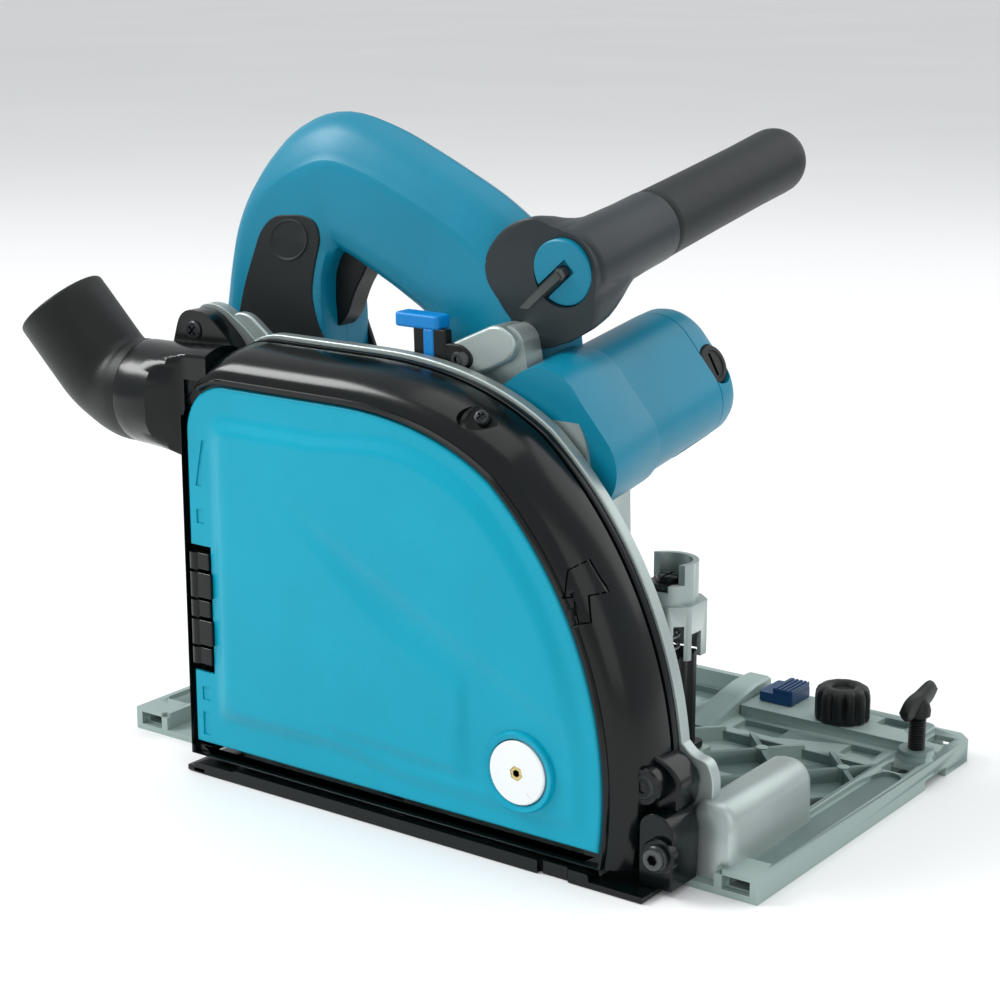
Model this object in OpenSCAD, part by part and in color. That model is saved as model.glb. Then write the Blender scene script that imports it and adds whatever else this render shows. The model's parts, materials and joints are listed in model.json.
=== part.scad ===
// Plunge saw for panel grooving: a fixed case on a ribbed base, and a head that
// swings down about a pivot at the front. X runs forward along the cut, Y from the
// blade to the motor, Z up from the sole. The origin lies on the sole.

/* [Base] */
// Length of the base along the cut
base_len = 340; // [330:1:360]
// Far edge of the base, from the origin
base_far = 194; // [190:1:200]
// Thickness of the sole
sole_t = 3; // [2.5:0.5:4]
// Height of the front and rear beams
beam_h = 11; // [10.5:0.5:12]
// Width of the front and rear beams
beam_w = 20; // [19:1:22]
// Width of the slot for a guide rule
rule_w = 10; // [8:0.5:11]
// Height of the slot for a guide rule
rule_h = 4.8; // [4.6:0.1:5]
// Width of the groove for a guide rail
rail_w = 21; // [19:0.5:22]
// Depth of the groove for a guide rail
rail_d = 4.4; // [4:0.1:4.6]

/* [Case] */
// Radius of the front arc of the door
arc_r = 165; // [160:1:168]
// Top edge of the door above the sole
door_top = 180; // [176:1:182]
// How far the cover flares out beyond the door
flare = 17.5; // [14:0.5:18]
// Wall of the cover
cover_wall = 3; // [2.5:0.5:4]
// Radius of the dust port
port_r = 23.5; // [23:0.5:25]

/* [Blade] */
// Radius of the blade over its teeth
blade_r = 59; // [55:0.5:59]
// Number of grooving teeth
teeth = 8; // [6:1:10]
// Height of the spindle above the sole, head raised
spindle_z = 62; // [62:0.5:63]

/* [Motor] */
// How far the motor tips up, away from the blade
motor_tilt = 8.6; // [8:0.1:9]
// Radius of the motor barrel
barrel_r = 34; // [34:0.5:35]
// Length of the motor barrel
barrel_len = 58; // [58:1:60]

/* [Grips] */
// Radius of the front grip
grip_r = 15.5; // [15:0.5:16]
// Length of the front grip past its bracket
grip_len = 122; // [110:1:126]
// Thickness of each handle shell
shell_t = 17; // [16:0.5:18]

/* [Hidden] */
$fn = 64;
e = 0.01;
run_gap = 0.05;
air = 0.3;

body_blue = [0.0, 0.55, 0.67];
bright_blue = [0.05, 0.5, 0.85];
lever_blue = [0.0, 0.22, 0.42];
gloss_black = [0.03, 0.04, 0.04];
soft_black = [0.1, 0.11, 0.11];
cast_grey = [0.5, 0.58, 0.56];
cast_silver = [0.75, 0.78, 0.77];
steel = [0.62, 0.64, 0.66];
copper = [0.72, 0.42, 0.22];
brass = [0.78, 0.65, 0.32];

// places in the XZ plane
base_half = base_len / 2;
base_near = -5;
beam_in = base_half - beam_w;
rail_y = 154.5;
rule_z = 3.6;
channel_y = 140;
knob_c = [112, 175];
deck_z = 12.6;
arc_c = [-54, 35];
door_rear = -109;
door_foot = 14;
door_y = -30;
door_t = 4;
seat_y = door_y + door_t + air;
plate_y = 4;
plate_t = 6;
dial_c = [72, 41];
port_c = [-14, 169.5];
port_end = -144;
hinge_c = [-106, -26.5];
ear_c = [-123, 198];
pivot_c = [145.5, 21];
pivot_r = 5;
arm_y = 12;
arm_t = 10;
blade_y = -14;
pillar_c = [61.5, 100];
motor_x = 52;
motor_y = 44;
motor_z = 166.9;
gear_y = 27;
gear_w = 8;

// gear train: pinion, intermediate gear, drive gear
gear_m = 1.25;
pinion_n = 12;
idler_n = 62;
drive_n = 48;
pinion_c = [motor_x, motor_z - (motor_y - gear_y) * tan(motor_tilt)];
spindle_c = [0, spindle_z];
function pitch_r(n) = gear_m * n / 2;
reach = norm(pinion_c - spindle_c);
near_r = pitch_r(pinion_n) + pitch_r(idler_n);
far_r = pitch_r(drive_n) + pitch_r(idler_n);
train_a = atan2(pinion_c[1] - spindle_c[1], pinion_c[0] - spindle_c[0]);
lean_cos = (reach * reach + far_r * far_r - near_r * near_r) / (2 * reach * far_r);
lean_a = acos(min(1, lean_cos));
idler_c = spindle_c + far_r * [cos(train_a - lean_a), sin(train_a - lean_a)];
to_pinion = atan2(pinion_c[1] - idler_c[1], pinion_c[0] - idler_c[0]);
to_drive = atan2(spindle_c[1] - idler_c[1], spindle_c[0] - idler_c[0]);
idler_step = 360 / idler_n;
idler_phase = to_pinion + idler_step / 2;
drive_lag = (to_drive - idler_phase) - idler_step * floor((to_drive - idler_phase) / idler_step);
drive_phase = to_drive + 180 + drive_lag * idler_n / drive_n + 180 / drive_n;

// D-handle: centre, and radius, of each round that its outline is swept over
handle_y = 46;
handle_arch = [[-117, 150, 20], [-117, 195, 24], [-109, 228, 26], [-96, 256, 30], [-74, 263, 30.4],
    [-41, 252, 31], [-5, 234, 32], [10, 218, 35], [10, 198, 38], [18, 168, 36]];
handle_foot = [[-117, 150, 20], [20, 158, 15]];
grip_o = [motor_x, 28, 235.2];
grip_tilt = 10.1;
bracket_len = 67;
lever_c = [14, 198];

// a flat outline in XZ, given thickness from y0 to y1
module slab(y0, y1) {
    translate([0, y1, 0]) rotate([90, 0, 0]) linear_extrude(y1 - y0) children();
}

// a round bar along Y at c = [x, z]
module bar_y(c, r, y0, y1) {
    translate([c[0], y0, c[1]]) rotate([-90, 0, 0]) cylinder(r = r, h = y1 - y0);
}

// a box from its lowest to its highest corner
module block(low, high) {
    translate(low) cube(high - low);
}

module on_motor() {
    translate([motor_x, motor_y, motor_z]) rotate([motor_tilt - 90, 0, 0]) children();
}

module on_grip() {
    translate(grip_o) rotate([grip_tilt - 90, 0, 0]) children();
}

// outline of the case, grown by g past the door
module case_outline(g, foot) {
    rear = door_rear - min(max(g, -99), 3);
    corner = 22 + g / 2;
    intersection() {
        translate(arc_c) circle(r = arc_r + g, $fn = 128);
        union() {
            translate([rear, foot]) square([260, door_top + g - corner - foot]);
            translate([rear + corner, foot]) square([260, door_top + g - foot]);
            translate([rear + corner, door_top + g - corner]) circle(r = corner);
        }
    }
}

// flat gear with straight-sided teeth
module gear_flat(n, phase) {
    r = pitch_r(n);
    step = 360 / n;
    root = 0.9 * 180 / PI / (r - 1.9);
    tip = 0.45 * 180 / PI / (r + 1);
    rotate(phase) polygon([for (i = [0:n - 1], c = [[-root, r - 1.9], [-tip, r + 1], [tip, r + 1],
        [root, r - 1.9]]) c[1] * [cos(i * step + c[0]), sin(i * step + c[0])]]);
}

// round wire wound into a coil spring along Z
module coil(r, wire, height, turns) {
    sides = 8;
    steps = turns * 14;
    pts = [for (i = [0:steps], k = [0:sides - 1])
        let (a = 360 * turns * i / steps, b = 360 * k / sides, q = r + wire * cos(b))
        [q * cos(a), q * sin(a), wire + (height - 2 * wire) * i / steps + wire * sin(b)]];
    walls = [for (i = [0:steps - 1], k = [0:sides - 1])
        let (n = (k + 1) % sides)
        [i * sides + k, (i + 1) * sides + k, (i + 1) * sides + n, i * sides + n]];
    first = [for (k = [0:sides - 1]) k];
    last = [for (k = [sides - 1:-1:0]) steps * sides + k];
    polyhedron(pts, concat(walls, [first, last]));
}

// ball bearing along Z
module bearing(r_in, r_out, w) {
    difference() {
        cylinder(r = r_out, h = w);
        translate([0, 0, -1]) cylinder(r = r_in, h = w + 2);
    }
}

// socket-head screw along Z, its head from z = 0 up
module socket_screw(r, len) {
    difference() {
        union() {
            cylinder(r = 1.7 * r, h = 1.8 * r);
            translate([0, 0, -len]) cylinder(r = r, h = len + e);
        }
        translate([0, 0, 0.8 * r]) cylinder(r = 0.95 * r, h = 2 * r, $fn = 6);
    }
}

// ---- base ----

bolt_spots = [[140, 30], [152.5, 30], [140, 58], [152.5, 58]];
module bolt_holes() {
    for (c = bolt_spots) translate([c[0], c[1], 0.5]) cylinder(r = 2 + run_gap, h = 12.5);
}

module beam(x0) {
    difference() {
        union() {
            block([x0, base_near, 0], [x0 + beam_w, base_far, beam_h]);
            translate([x0 + beam_w / 2, rail_y, 0]) cylinder(r = 9, h = beam_h + 4);
        }
        block([x0 + beam_w / 2 - rule_w / 2, base_near - 1, rule_z],
            [x0 + beam_w / 2 + rule_w / 2, base_far + 1, rule_z + rule_h]);
        block([x0 - 1, rail_y - rail_w / 2, -1], [x0 + beam_w + 1, rail_y + rail_w / 2, rail_d]);
        block([x0 + 5, 8, beam_h - 1.2], [x0 + beam_w - 3, 128, beam_h + 1]);
        translate([x0 + beam_w / 2, rail_y, rule_z]) cylinder(r = 4 + run_gap, h = 20);
        bolt_holes();
    }
}

module front_beam() {
    color(cast_grey) beam(beam_in);
}

module rear_beam() {
    color(cast_grey) beam(-base_half);
}

// crossing ribs on the sole
module ribs() {
    for (k = [-3:3], s = [-1, 1])
        translate([k * 45, 88, sole_t - e]) rotate(s * 42) translate([-75, -1.5, 0]) cube([150, 3, 7]);
}

module base_plate() {
    color(cast_grey) difference() {
        union() {
            block([-beam_in, base_near, 0], [beam_in, channel_y, sole_t]);
            intersection() {
                ribs();
                block([-beam_in, 44, 0], [beam_in, channel_y, 20]);
            }
            block([-beam_in, 40, 0], [118, 43, 9]);
        }
        block([pillar_c[0] - 15, pillar_c[1] - 15, sole_t], [pillar_c[0] + 15, pillar_c[1] + 15, 20]);
        block([118, -4, sole_t], [beam_in + 1, 72, 20]);
        block([104, base_near - 1, -1], [137, 3, 9]);
        bolt_holes();
    }
}

module rail_channel() {
    color(cast_grey) difference() {
        union() {
            block([-beam_in, channel_y, 0], [beam_in, base_far, 9]);
            block([64, 165, 9 - e], [beam_in, base_far, deck_z]);
            block([-beam_in, base_far - 5, 9 - e], [50, base_far, 16]);
            block([50, channel_y, 9 - e], [64, base_far, 18]);
        }
        block([-base_half, rail_y - rail_w / 2, -1], [base_half, rail_y + rail_w / 2, rail_d]);
        for (x = [-92, -24, 16]) block([x - 14, 168, 4], [x + 14, 186, 20]);
        translate([knob_c[0], knob_c[1], 5.5]) cylinder(r = 4 + run_gap, h = 20);
    }
}

module side_shoe() {
    color(gloss_black) {
        block([-112, -31, 0], [108, -22.5, 5]);
        block([108 - e, -31, 0], [133, 2, 2.5]);
        block([-112, -22.5 - e, 0], [-101, base_near, 3]);
    }
}

module shoe_bracket() {
    color(gloss_black) difference() {
        union() {
            block([129.8, -22, 2.5], [139, -1, 26]);
            bar_y([134.4, 26], 4.6, -22, -1);
        }
        bar_y([134.4, 17.6], 2.5 + run_gap, -30, 5);
    }
}

module base_bolts() {
    color(soft_black) {
        translate([134.4, -22, 17.6]) rotate([90, 0, 0]) socket_screw(2.5, 20.9);
        for (c = bolt_spots) translate([c[0], c[1], 0.5]) cylinder(r = 2, h = 12);
    }
}

module pivot_bracket() {
    color(cast_silver) difference() {
        union() {
            hull() {
                bar_y([143, 28], 7, 0, 67);
                bar_y([148, 28], 7, 0, 67);
                block([136, 0, sole_t], [155, 67, 20]);
            }
        }
        bar_y(pivot_c, pivot_r, -1, 64);
        block([135, arm_y - 1.5, 0], [pivot_c[0] + 7.9, arm_y + arm_t + 1.5, 32.6]);
        block([beam_in, -1, 0], [base_half + 1, 68, beam_h]);
        bolt_holes();
    }
}

module pivot_shaft() {
    color(steel) bar_y(pivot_c, pivot_r, 0.5, 63.5);
}

module spring_pillar() {
    color(soft_black) difference() {
        translate([pillar_c[0], pillar_c[1], 0]) {
            block([-13, -13, sole_t], [13, 13, 9]);
            block([-10.5, -10, 9 - e], [10.5, 10, 56]);
            for (k = [-2:2]) translate([k * 4.6 - 0.75, -11.2, 9]) cube([1.5, 22.4, 40]);
        }
        translate([pillar_c[0], pillar_c[1], 30]) cylinder(r = 7, h = 30);
    }
}

module return_spring() {
    color(steel) translate([pillar_c[0], pillar_c[1], 30]) coil(5.2, 0.9, 40, 7);
}

// ---- case ----

module leg_flat() {
    polygon([[60, 8], [60, 90], [108, 90], [133.7, 40], [133.7, 8]]);
}

module case_plate() {
    color(cast_silver) difference() {
        union() {
            slab(plate_y, plate_y + plate_t) {
                case_outline(flare + 1.5, 8);
                leg_flat();
            }
            slab(plate_y, plate_y + plate_t) {
                translate(ear_c) circle(r = 9);
                polygon([[-131, 194], [-112, 170], [-70, 180], [-70, 196], [-117, 205]]);
            }
        }
        slab(plate_y - 1, plate_y + plate_t + 1) translate([-1.5, spindle_z - 4.5]) circle(r = 20);
        translate([port_end - 1, port_c[0], port_c[1]]) rotate([0, 90, 0])
            cylinder(r = port_r + run_gap, h = door_rear - 6 - port_end + 1.1);
        for (s = screw_spots()) bar_y(s, 1.6 + run_gap, plate_y - 1, plate_y + plate_t + 1);
    }
}

function screw_spots() = [ear_c, [54.5, 181], [122, 46], [-96, 26]];

module case_cover() {
    color(gloss_black) difference() {
        union() {
            hull() {
                slab(seat_y, seat_y + 1) case_outline(1.5, 8, $fn = 48);
                slab(-16, -15) case_outline(flare - 5, 8, $fn = 48);
                slab(plate_y - 8, plate_y) case_outline(flare, 8, $fn = 48);
            }
            difference() {
                translate([port_end, port_c[0], port_c[1]]) rotate([0, 90, 0])
                    cylinder(r = port_r, h = 60);
                block([door_rear - 0.6, -60, 100], [0, seat_y, 240]);
                block([door_rear - 6, plate_y, 100], [0, 40, 240]);
            }
            bar_y(ear_c, 8, -4, plate_y);
            slab(-4, plate_y) polygon([[-131, 198], [-131, 180], [-100, 180], [-100, 195], [-119, 205]]);
        }
        slab(-16, plate_y + 1) case_outline(flare - cover_wall - 5, 0);
        slab(seat_y + cover_wall - 0.5, plate_y + 1) case_outline(-1.5, 0);
        slab(seat_y - 1, seat_y + 9) case_outline(-8, 22);
        translate([port_end - 1, port_c[0], port_c[1]]) rotate([0, 90, 0])
            cylinder(r = port_r - 3, h = 70);
        for (s = screw_spots()) bar_y(s, 1.6 + run_gap, -30, plate_y + 1);
        for (s = deep_screws) bar_y(s, 3.3, -40, -12);
        translate([hinge_c[0], hinge_c[1], 0]) cylinder(r = 5.4, h = 200);
    }
    color(gloss_black) {
        knuckles([[52, 60], [74, 82], [96, 104]]);
        block([84, seat_y, 34], [104, seat_y + 2.5, 48]);
        difference() {
            bar_y([122, 46], 5.5, -12, plate_y);
            bar_y([122, 46], 1.6 + run_gap, -13, plate_y + 1);
        }
    }
}

// hinge barrels between heights, with a web back to the cover
module knuckles(spans) {
    for (s = spans) difference() {
        union() {
            translate([hinge_c[0], hinge_c[1], s[0]]) cylinder(r = 3, h = s[1] - s[0]);
            block([hinge_c[0] - 3, hinge_c[1], s[0]], [hinge_c[0] + 1, hinge_c[1] + 6, s[1]]);
        }
        translate([hinge_c[0], hinge_c[1], 0]) cylinder(r = 1.5 + run_gap, h = 200);
    }
}

deep_screws = [[54.5, 181], [122, 46]];
module case_screws() {
    color(soft_black) {
        translate([ear_c[0], -4, ear_c[1]]) rotate([90, 0, 0]) socket_screw(1.6, 12);
        for (s = deep_screws) translate([s[0], -12, s[1]]) rotate([90, 0, 0]) socket_screw(1.6, 20);
    }
}

module hinge_pin() {
    color(steel) translate([hinge_c[0], hinge_c[1], 50]) cylinder(r = 1.5, h = 56);
}

module door_panel() {
    color(body_blue) difference() {
        union() {
            slab(door_y, door_y + door_t) case_outline(0, door_foot);
            translate([hinge_c[0], hinge_c[1], 0]) for (s = [[61, 73], [83, 95]])
                translate([0, 0, s[0]]) cylinder(r = 3, h = s[1] - s[0]);
        }
        slab(door_y + 2.5, door_y + door_t + 1) difference() {
            case_outline(-3.5, door_foot + 3.5);
            translate(dial_c) circle(r = 17);
            translate([door_rear, 40]) square([14, 80]);
        }
        bar_y(dial_c, 13.6, door_y - 1, door_y + 2);
        bar_y(dial_c, 4 + run_gap, door_y - 1, door_y + 10);
        translate([hinge_c[0], hinge_c[1], 0]) cylinder(r = 1.5 + run_gap, h = 200);
        for (s = [[51.5, 60.5], [73.5, 82.5], [95.5, 104.5]])
            block([door_rear - 1, door_y - 1, s[0]], [hinge_c[0] + 4.5, door_y + 10, s[1]]);
    }
}

module lock_dial() {
    color(cast_silver) difference() {
        union() {
            bar_y(dial_c, 13, door_y - 0.5, door_y + 1.7);
            bar_y(dial_c, 4, door_y + 1, -20);
            block([dial_c[0] - 4, -22.6, dial_c[1] - 4], [dial_c[0] + 4, -20.6, dial_c[1] + 17]);
        }
        slab(door_y - 1, door_y + 1) translate(dial_c) circle(r = 2.5, $fn = 6);
    }
}

// elbow: a spigot and stop ring in the port, a bend, and a straight mouth
nozzle_bend = 30;
nozzle_turn = 52;
nozzle_r = 21.5;
mouth_len = 32;
nozzle_bore = 17.5;
module dust_nozzle() {
    color(soft_black) translate([port_end, port_c[0], port_c[1]]) rotate([10.6, 0, 0]) {
        translate([-1, 0, 0]) rotate([0, 90, 0]) tube(port_r - 3 - 2 * run_gap, nozzle_bore, 21);
        translate([-6, 0, 0]) rotate([0, 90, 0]) tube(port_r, nozzle_bore, 6 - 2 * run_gap);
        translate([-4, 0, nozzle_bend]) rotate([90, 0, 0]) rotate([0, 0, 270 - nozzle_turn])
            rotate_extrude(angle = nozzle_turn) translate([nozzle_bend, 0]) difference() {
                circle(r = nozzle_r + 0.3);
                circle(r = nozzle_bore - 0.3);
            }
        translate([-4 - nozzle_bend * sin(nozzle_turn), 0, nozzle_bend * (1 - cos(nozzle_turn))])
            rotate([0, nozzle_turn - 90, 0]) translate([0, 0, -2]) tube(nozzle_r, nozzle_bore, mouth_len + 2);
    }
}

module tube(r_out, r_in, len) {
    difference() {
        cylinder(r = r_out, h = len);
        translate([0, 0, -1]) cylinder(r = r_in, h = len + 2);
    }
}

// ---- base controls ----

module rail_lever() {
    color(lever_blue) translate([77, 183, deck_z + 0.2]) {
        block([-9, -10, 0], [9, 10, 4.5]);
        block([-2, -10, 4.5 - e], [9, 10, 7.5]);
    }
}

module rail_knob() {
    color(soft_black) translate([knob_c[0], knob_c[1], 0]) {
        translate([0, 0, 5.6]) cylinder(r = 4, h = deck_z - 5);
        difference() {
            translate([0, 0, deck_z + 0.3]) cylinder(r = 13, h = 16);
            for (k = [0:11]) rotate(k * 30) translate([14, 0, 16]) cylinder(r = 2.2, h = 20);
            translate([0, 0, deck_z + 14]) cylinder(r = 4, h = 5);
        }
    }
}

module wing_screw(x) {
    color(soft_black) translate([x, rail_y, 0]) {
        translate([0, 0, rule_z + rule_h + 0.2]) cylinder(r = 4, h = 22);
        translate([0, 0, 22]) cylinder(r = 6, h = 10);
        hull() {
            for (s = [-1, 1]) translate([-2.5, s * 7.5, 37 + s * 2]) rotate([0, 90, 0]) cylinder(r = 7.5, h = 5);
        }
    }
}

module wing_screw_front() {
    wing_screw(beam_in + beam_w / 2);
}

module wing_screw_rear() {
    wing_screw(-base_half + beam_w / 2);
}

// ---- head ----

module gear_shape(grow) {
    hull() {
        translate(spindle_c) circle(r = 34 + grow);
        translate(idler_c) circle(r = 43 + grow);
        translate(pinion_c) circle(r = 24 + grow);
    }
}

module gear_housing() {
    color(cast_silver) difference() {
        union() {
            slab(arm_y, motor_y) gear_shape(0);
            on_motor() translate([0, 0, -12]) cylinder(r = 31.1, h = 12);
            slab(arm_y, arm_y + arm_t) {
                hull() {
                    translate(pivot_c) circle(r = 7.4, $fn = 32);
                    translate([80, 32]) circle(r = 11, $fn = 32);
                }
                hull() {
                    translate([80, 32]) circle(r = 11, $fn = 32);
                    translate([15, 60]) circle(r = 20, $fn = 32);
                }
            }
            tower_arm();
            lever_boss(0);
        }
        difference() {
            slab(arm_y + 9, motor_y - 8) gear_shape(-2.2);
            on_motor() translate([0, 0, -9]) cylinder(r = 80, h = 60);
        }
        on_motor() cylinder(r = 90, h = 60);
        on_motor() translate([0, 0, -30]) cylinder(r = 6, h = 40);
        on_motor() translate([0, 0, -8]) cylinder(r = 11, h = 10);
        bar_y(spindle_c, 11, arm_y - 1, motor_y + 20);
        bar_y(spindle_c, 18, arm_y - 1, arm_y + 9.5);
        bar_y(spindle_c, 14, motor_y - 9, motor_y + 20);
        bar_y(idler_c, 10, arm_y + 2, motor_y - 2);
        bar_y(pivot_c, pivot_r + run_gap, 0, 30);
        bar_y(lever_c, 3, 0, 40);
    }
}

// boss that carries the lock lever's pin
module lever_boss(g) {
    slab(17 - g, 28.8 + g) hull() {
        translate(lever_c) circle(r = 8 + g, $fn = 32);
        translate([33, 205]) circle(r = 8 + g, $fn = 32);
        translate([34, 178]) circle(r = 12 + g, $fn = 32);
    }
}

// strut from the gear housing to the depth tower
module tower_arm() {
    hull() {
        translate([22, 30, 70]) sphere(r = 11, $fn = 24);
        translate([38, 84, 70]) sphere(r = 9, $fn = 24);
    }
}

tower_low = 51;
tower_top = 80;
module depth_tower() {
    color(cast_silver) difference() {
        translate([pillar_c[0], pillar_c[1], 0]) {
            translate([-15.5, -14, tower_low]) cube([31.5, 28, tower_top - tower_low]);
            translate([0, 0, tower_top - e]) difference() {
                cylinder(r = 14, h = 19);
                translate([0, 0, 1]) cylinder(r = 10.5, h = 20);
                translate([-15, -20, 6]) cube([24, 26, 20]);
            }
        }
        translate([pillar_c[0], pillar_c[1], 0]) {
            translate([-13.5, -12, tower_low - 1]) cube([27.5, 24, 22]);
            cylinder(r = 3 + run_gap, h = 90);
            translate([8, -20, tower_low - 1]) cube([5, 40, 9]);
        }
        tower_arm();
    }
}

module depth_screw() {
    color(soft_black) translate([pillar_c[0], pillar_c[1], 0]) difference() {
        union() {
            translate([0, 0, 73]) cylinder(r = 3, h = 14);
            translate([0, 0, 86]) cylinder(r = 9, h = 3);
            translate([0, 0, 89 - e]) cylinder(r = 5.5, h = 3);
        }
        translate([-0.8, -5, 90.5]) cube([1.6, 10, 3]);
    }
}

module depth_screw_spring() {
    color(steel) translate([pillar_c[0], pillar_c[1], tower_top + 1]) coil(4.3, 0.45, 4.9, 3);
}

// barrel, with a skirt that wraps the upper end of the gear housing
module motor_housing() {
    color(body_blue) difference() {
        on_motor() difference() {
            union() {
                cylinder(r = barrel_r, h = barrel_len);
                translate([0, 0, -40]) cylinder(r = barrel_r + 1.6, h = 74);
            }
            translate([0, 0, -60]) cylinder(r = 31.2, h = barrel_len + 62);
        }
        slab(-40, motor_y + air) gear_shape(air);
        lever_boss(0.15);
        block([-60, -40, 100], [160, arm_y, 260]);
        block([-60, -40, 100], [30, motor_y, 260]);
    }
}

brush_a = -40;
module motor_end_cap() {
    color(body_blue) difference() {
        on_motor() difference() {
            union() {
                translate([0, 0, barrel_len + e]) cylinder(r = barrel_r, h = 10);
                translate([0, 0, barrel_len + 10]) cylinder(r1 = barrel_r, r2 = 27, h = 9.4);
            }
            translate([0, 0, barrel_len - 1]) cylinder(r = 29, h = 13);
            translate([0, 0, barrel_len]) cylinder(r = 8, h = 17);
            rotate([0, 0, brush_a]) for (s = [-1, 1]) rotate([0, s * 90, 0])
                translate([s * -(barrel_len + 5), 0, 20]) cylinder(r = 5.2, h = 30);
        }
    }
}

module field_stator() {
    color(steel) on_motor() translate([0, 0, 16]) difference() {
        cylinder(r = 31, h = 34);
        translate([0, 0, -1]) cylinder(r = 22.6, h = 36);
        for (s = [-1, 1]) translate([s * 29 - 6, -40, -1]) cube([12, 80, 36]);
    }
}

module armature_bearings() {
    color(steel) on_motor() {
        translate([0, 0, -8]) bearing(5, 11, 7);
        translate([0, 0, barrel_len + 9]) bearing(4, 8, 7);
    }
}

// the two brush wells lie across the motor axis
module at_brushes() {
    on_motor() translate([0, 0, barrel_len + 5]) rotate([0, 0, brush_a]) for (s = [0, 180])
        rotate([0, 0, s]) rotate([0, 90, 0]) children();
}

module brush_holders() {
    color(brass) at_brushes() translate([0, 0, 14]) difference() {
        cylinder(r = 5, h = 14);
        translate([-2.6, -3.6, -1]) cube([5.2, 7.2, 20]);
    }
}

module carbon_brushes() {
    color(soft_black) at_brushes() translate([-2.5, -3.5, 12.1]) cube([5, 7, 13]);
}

module brush_caps() {
    color(soft_black) at_brushes() translate([0, 0, 28.2]) difference() {
        union() {
            cylinder(r = 5, h = 5);
            translate([0, 0, barrel_r - 28]) cylinder(r = 8.5, h = 1.6);
        }
        translate([-1, -5, 6]) cube([2, 10, 4]);
    }
}

module spindle_bearings() {
    color(steel) {
        translate([spindle_c[0], arm_y + 0.5, spindle_c[1]]) rotate([-90, 0, 0]) bearing(10, 18, 9);
        translate([spindle_c[0], motor_y - 9, spindle_c[1]]) rotate([-90, 0, 0]) bearing(6, 14, 8);
    }
}

module idler_bearings() {
    color(steel) for (y = [arm_y + 2, motor_y - 8])
        translate([idler_c[0], y, idler_c[1]]) rotate([-90, 0, 0]) bearing(5, 10, 6);
}

// outline of the D-handle, shrunk by d
module handle_flat(d) {
    sweep_flat(handle_arch, d);
    sweep_flat(handle_foot, d);
}

module sweep_flat(rounds, d) {
    for (i = [0:len(rounds) - 2]) hull() {
        translate([rounds[i][0], rounds[i][1]]) circle(r = rounds[i][2] - d, $fn = 48);
        translate([rounds[i + 1][0], rounds[i + 1][1]]) circle(r = rounds[i + 1][2] - d, $fn = 48);
    }
}

module handle_room() {
    slab(0, motor_y + air) gear_shape(air);
    on_motor() translate([0, 0, -30]) cylinder(r = barrel_r + 2 + air, h = 120);
    bracket_solid(air);
    lever_boss(0.15);
    translate([-147, handle_y, 146]) rotate([0, 90, 0]) cylinder(r = 7 + run_gap, h = 11.35);
    for (c = shell_screws) bar_y(c, 2 + run_gap, handle_y - shell_t - 1, handle_y - shell_t + 9);
    block([-96, handle_y - 6.5, 194], [-52, handle_y + 6.5, 243]);
    block([-122.1, handle_y - 9.1, 183.9], [-96.9, handle_y + 9.1, 222.1]);
    on_grip() translate([0, 0, -6]) cylinder(r = 14.2 + run_gap, h = 10.1);
    wrench_rest();
}

module wrench_rest() {
    on_grip() rotate([0, 0, wrench_a]) translate([-3.3, 0, -6]) cube([6.6, 29, 9.4]);
}

// one half of the handle, from side y0 to the parting plane
module handle_half(y0, y1, skin0, skin1) {
    color(body_blue) difference() {
        union() {
            slab(y0, y1) handle_flat(3);
            slab(y0 + skin0 * 5, y1 - skin1 * 5) handle_flat(0);
        }
        slab(y0 + skin0 * 3, y1 - skin1 * 3) handle_flat(6);
        handle_room();
        bar_y(button_c, 9 + 2 * run_gap, y0 - 1, y0 + 6);
    }
}

button_c = [-96, 236.5];
module handle_left_shell() {
    handle_half(handle_y - shell_t, handle_y, 1, 0);
}

module handle_right_shell() {
    handle_half(handle_y + e, handle_y + shell_t, 0, 1);
}

module rubber_flat() {
    difference() {
        hull() {
            translate([-107, 178]) circle(r = 20);
            translate([-96, 228]) circle(r = 17);
        }
        translate(button_c) circle(r = 9.5);
    }
}

module handle_rubber() {
    color(soft_black) {
        slab(handle_y - shell_t - 1.2, handle_y - shell_t - e) rubber_flat();
        slab(handle_y + shell_t + 2 * e, handle_y + shell_t + 1.2) rubber_flat();
    }
}

module switch_body() {
    color(soft_black) block([-122, handle_y - 9, 184], [-97, handle_y + 9, 222]);
}

module trigger() {
    color(soft_black) slab(handle_y - 6, handle_y + 6)
        polygon([[-89, 197], [-89, 240], [-70, 240], [-60, 230], [-68, 216], [-72, 203], [-78, 197]]);
}

module lock_off_button() {
    color(soft_black) bar_y(button_c, 9, handle_y - shell_t - 2, handle_y - shell_t + 2.5);
}

// saddle and boss that carry the front grip
module bracket_solid(g) {
    on_grip() translate([0, 0, 4 - g]) cylinder(r = grip_r + 1 + g, h = bracket_len - 4 + 2 * g);
    hull() {
        on_grip() translate([0, 0, 8]) cylinder(r = grip_r - 1 + g, h = 36, $fn = 32);
        block([26 - g, 33 - g, 206 - g], [56 + g, 62 + g, 214]);
    }
}

module grip_bracket() {
    color(soft_black) difference() {
        bracket_solid(0);
        on_motor() translate([0, 0, -30]) cylinder(r = barrel_r + 2 + air, h = 120);
        on_grip() cylinder(r = 3.2, h = 200);
        on_grip() translate([0, 0, -20]) cylinder(r = 14.2 + run_gap, h = 24);
        wrench_rest();
    }
}

module front_grip() {
    color(soft_black) difference() {
        on_grip() {
            translate([0, 0, bracket_len + e]) cylinder(r = grip_r, h = grip_len - grip_r);
            translate([0, 0, bracket_len + grip_len - grip_r]) sphere(r = grip_r);
        }
        on_grip() cylinder(r = 3.2, h = bracket_len + 60);
    }
}

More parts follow.
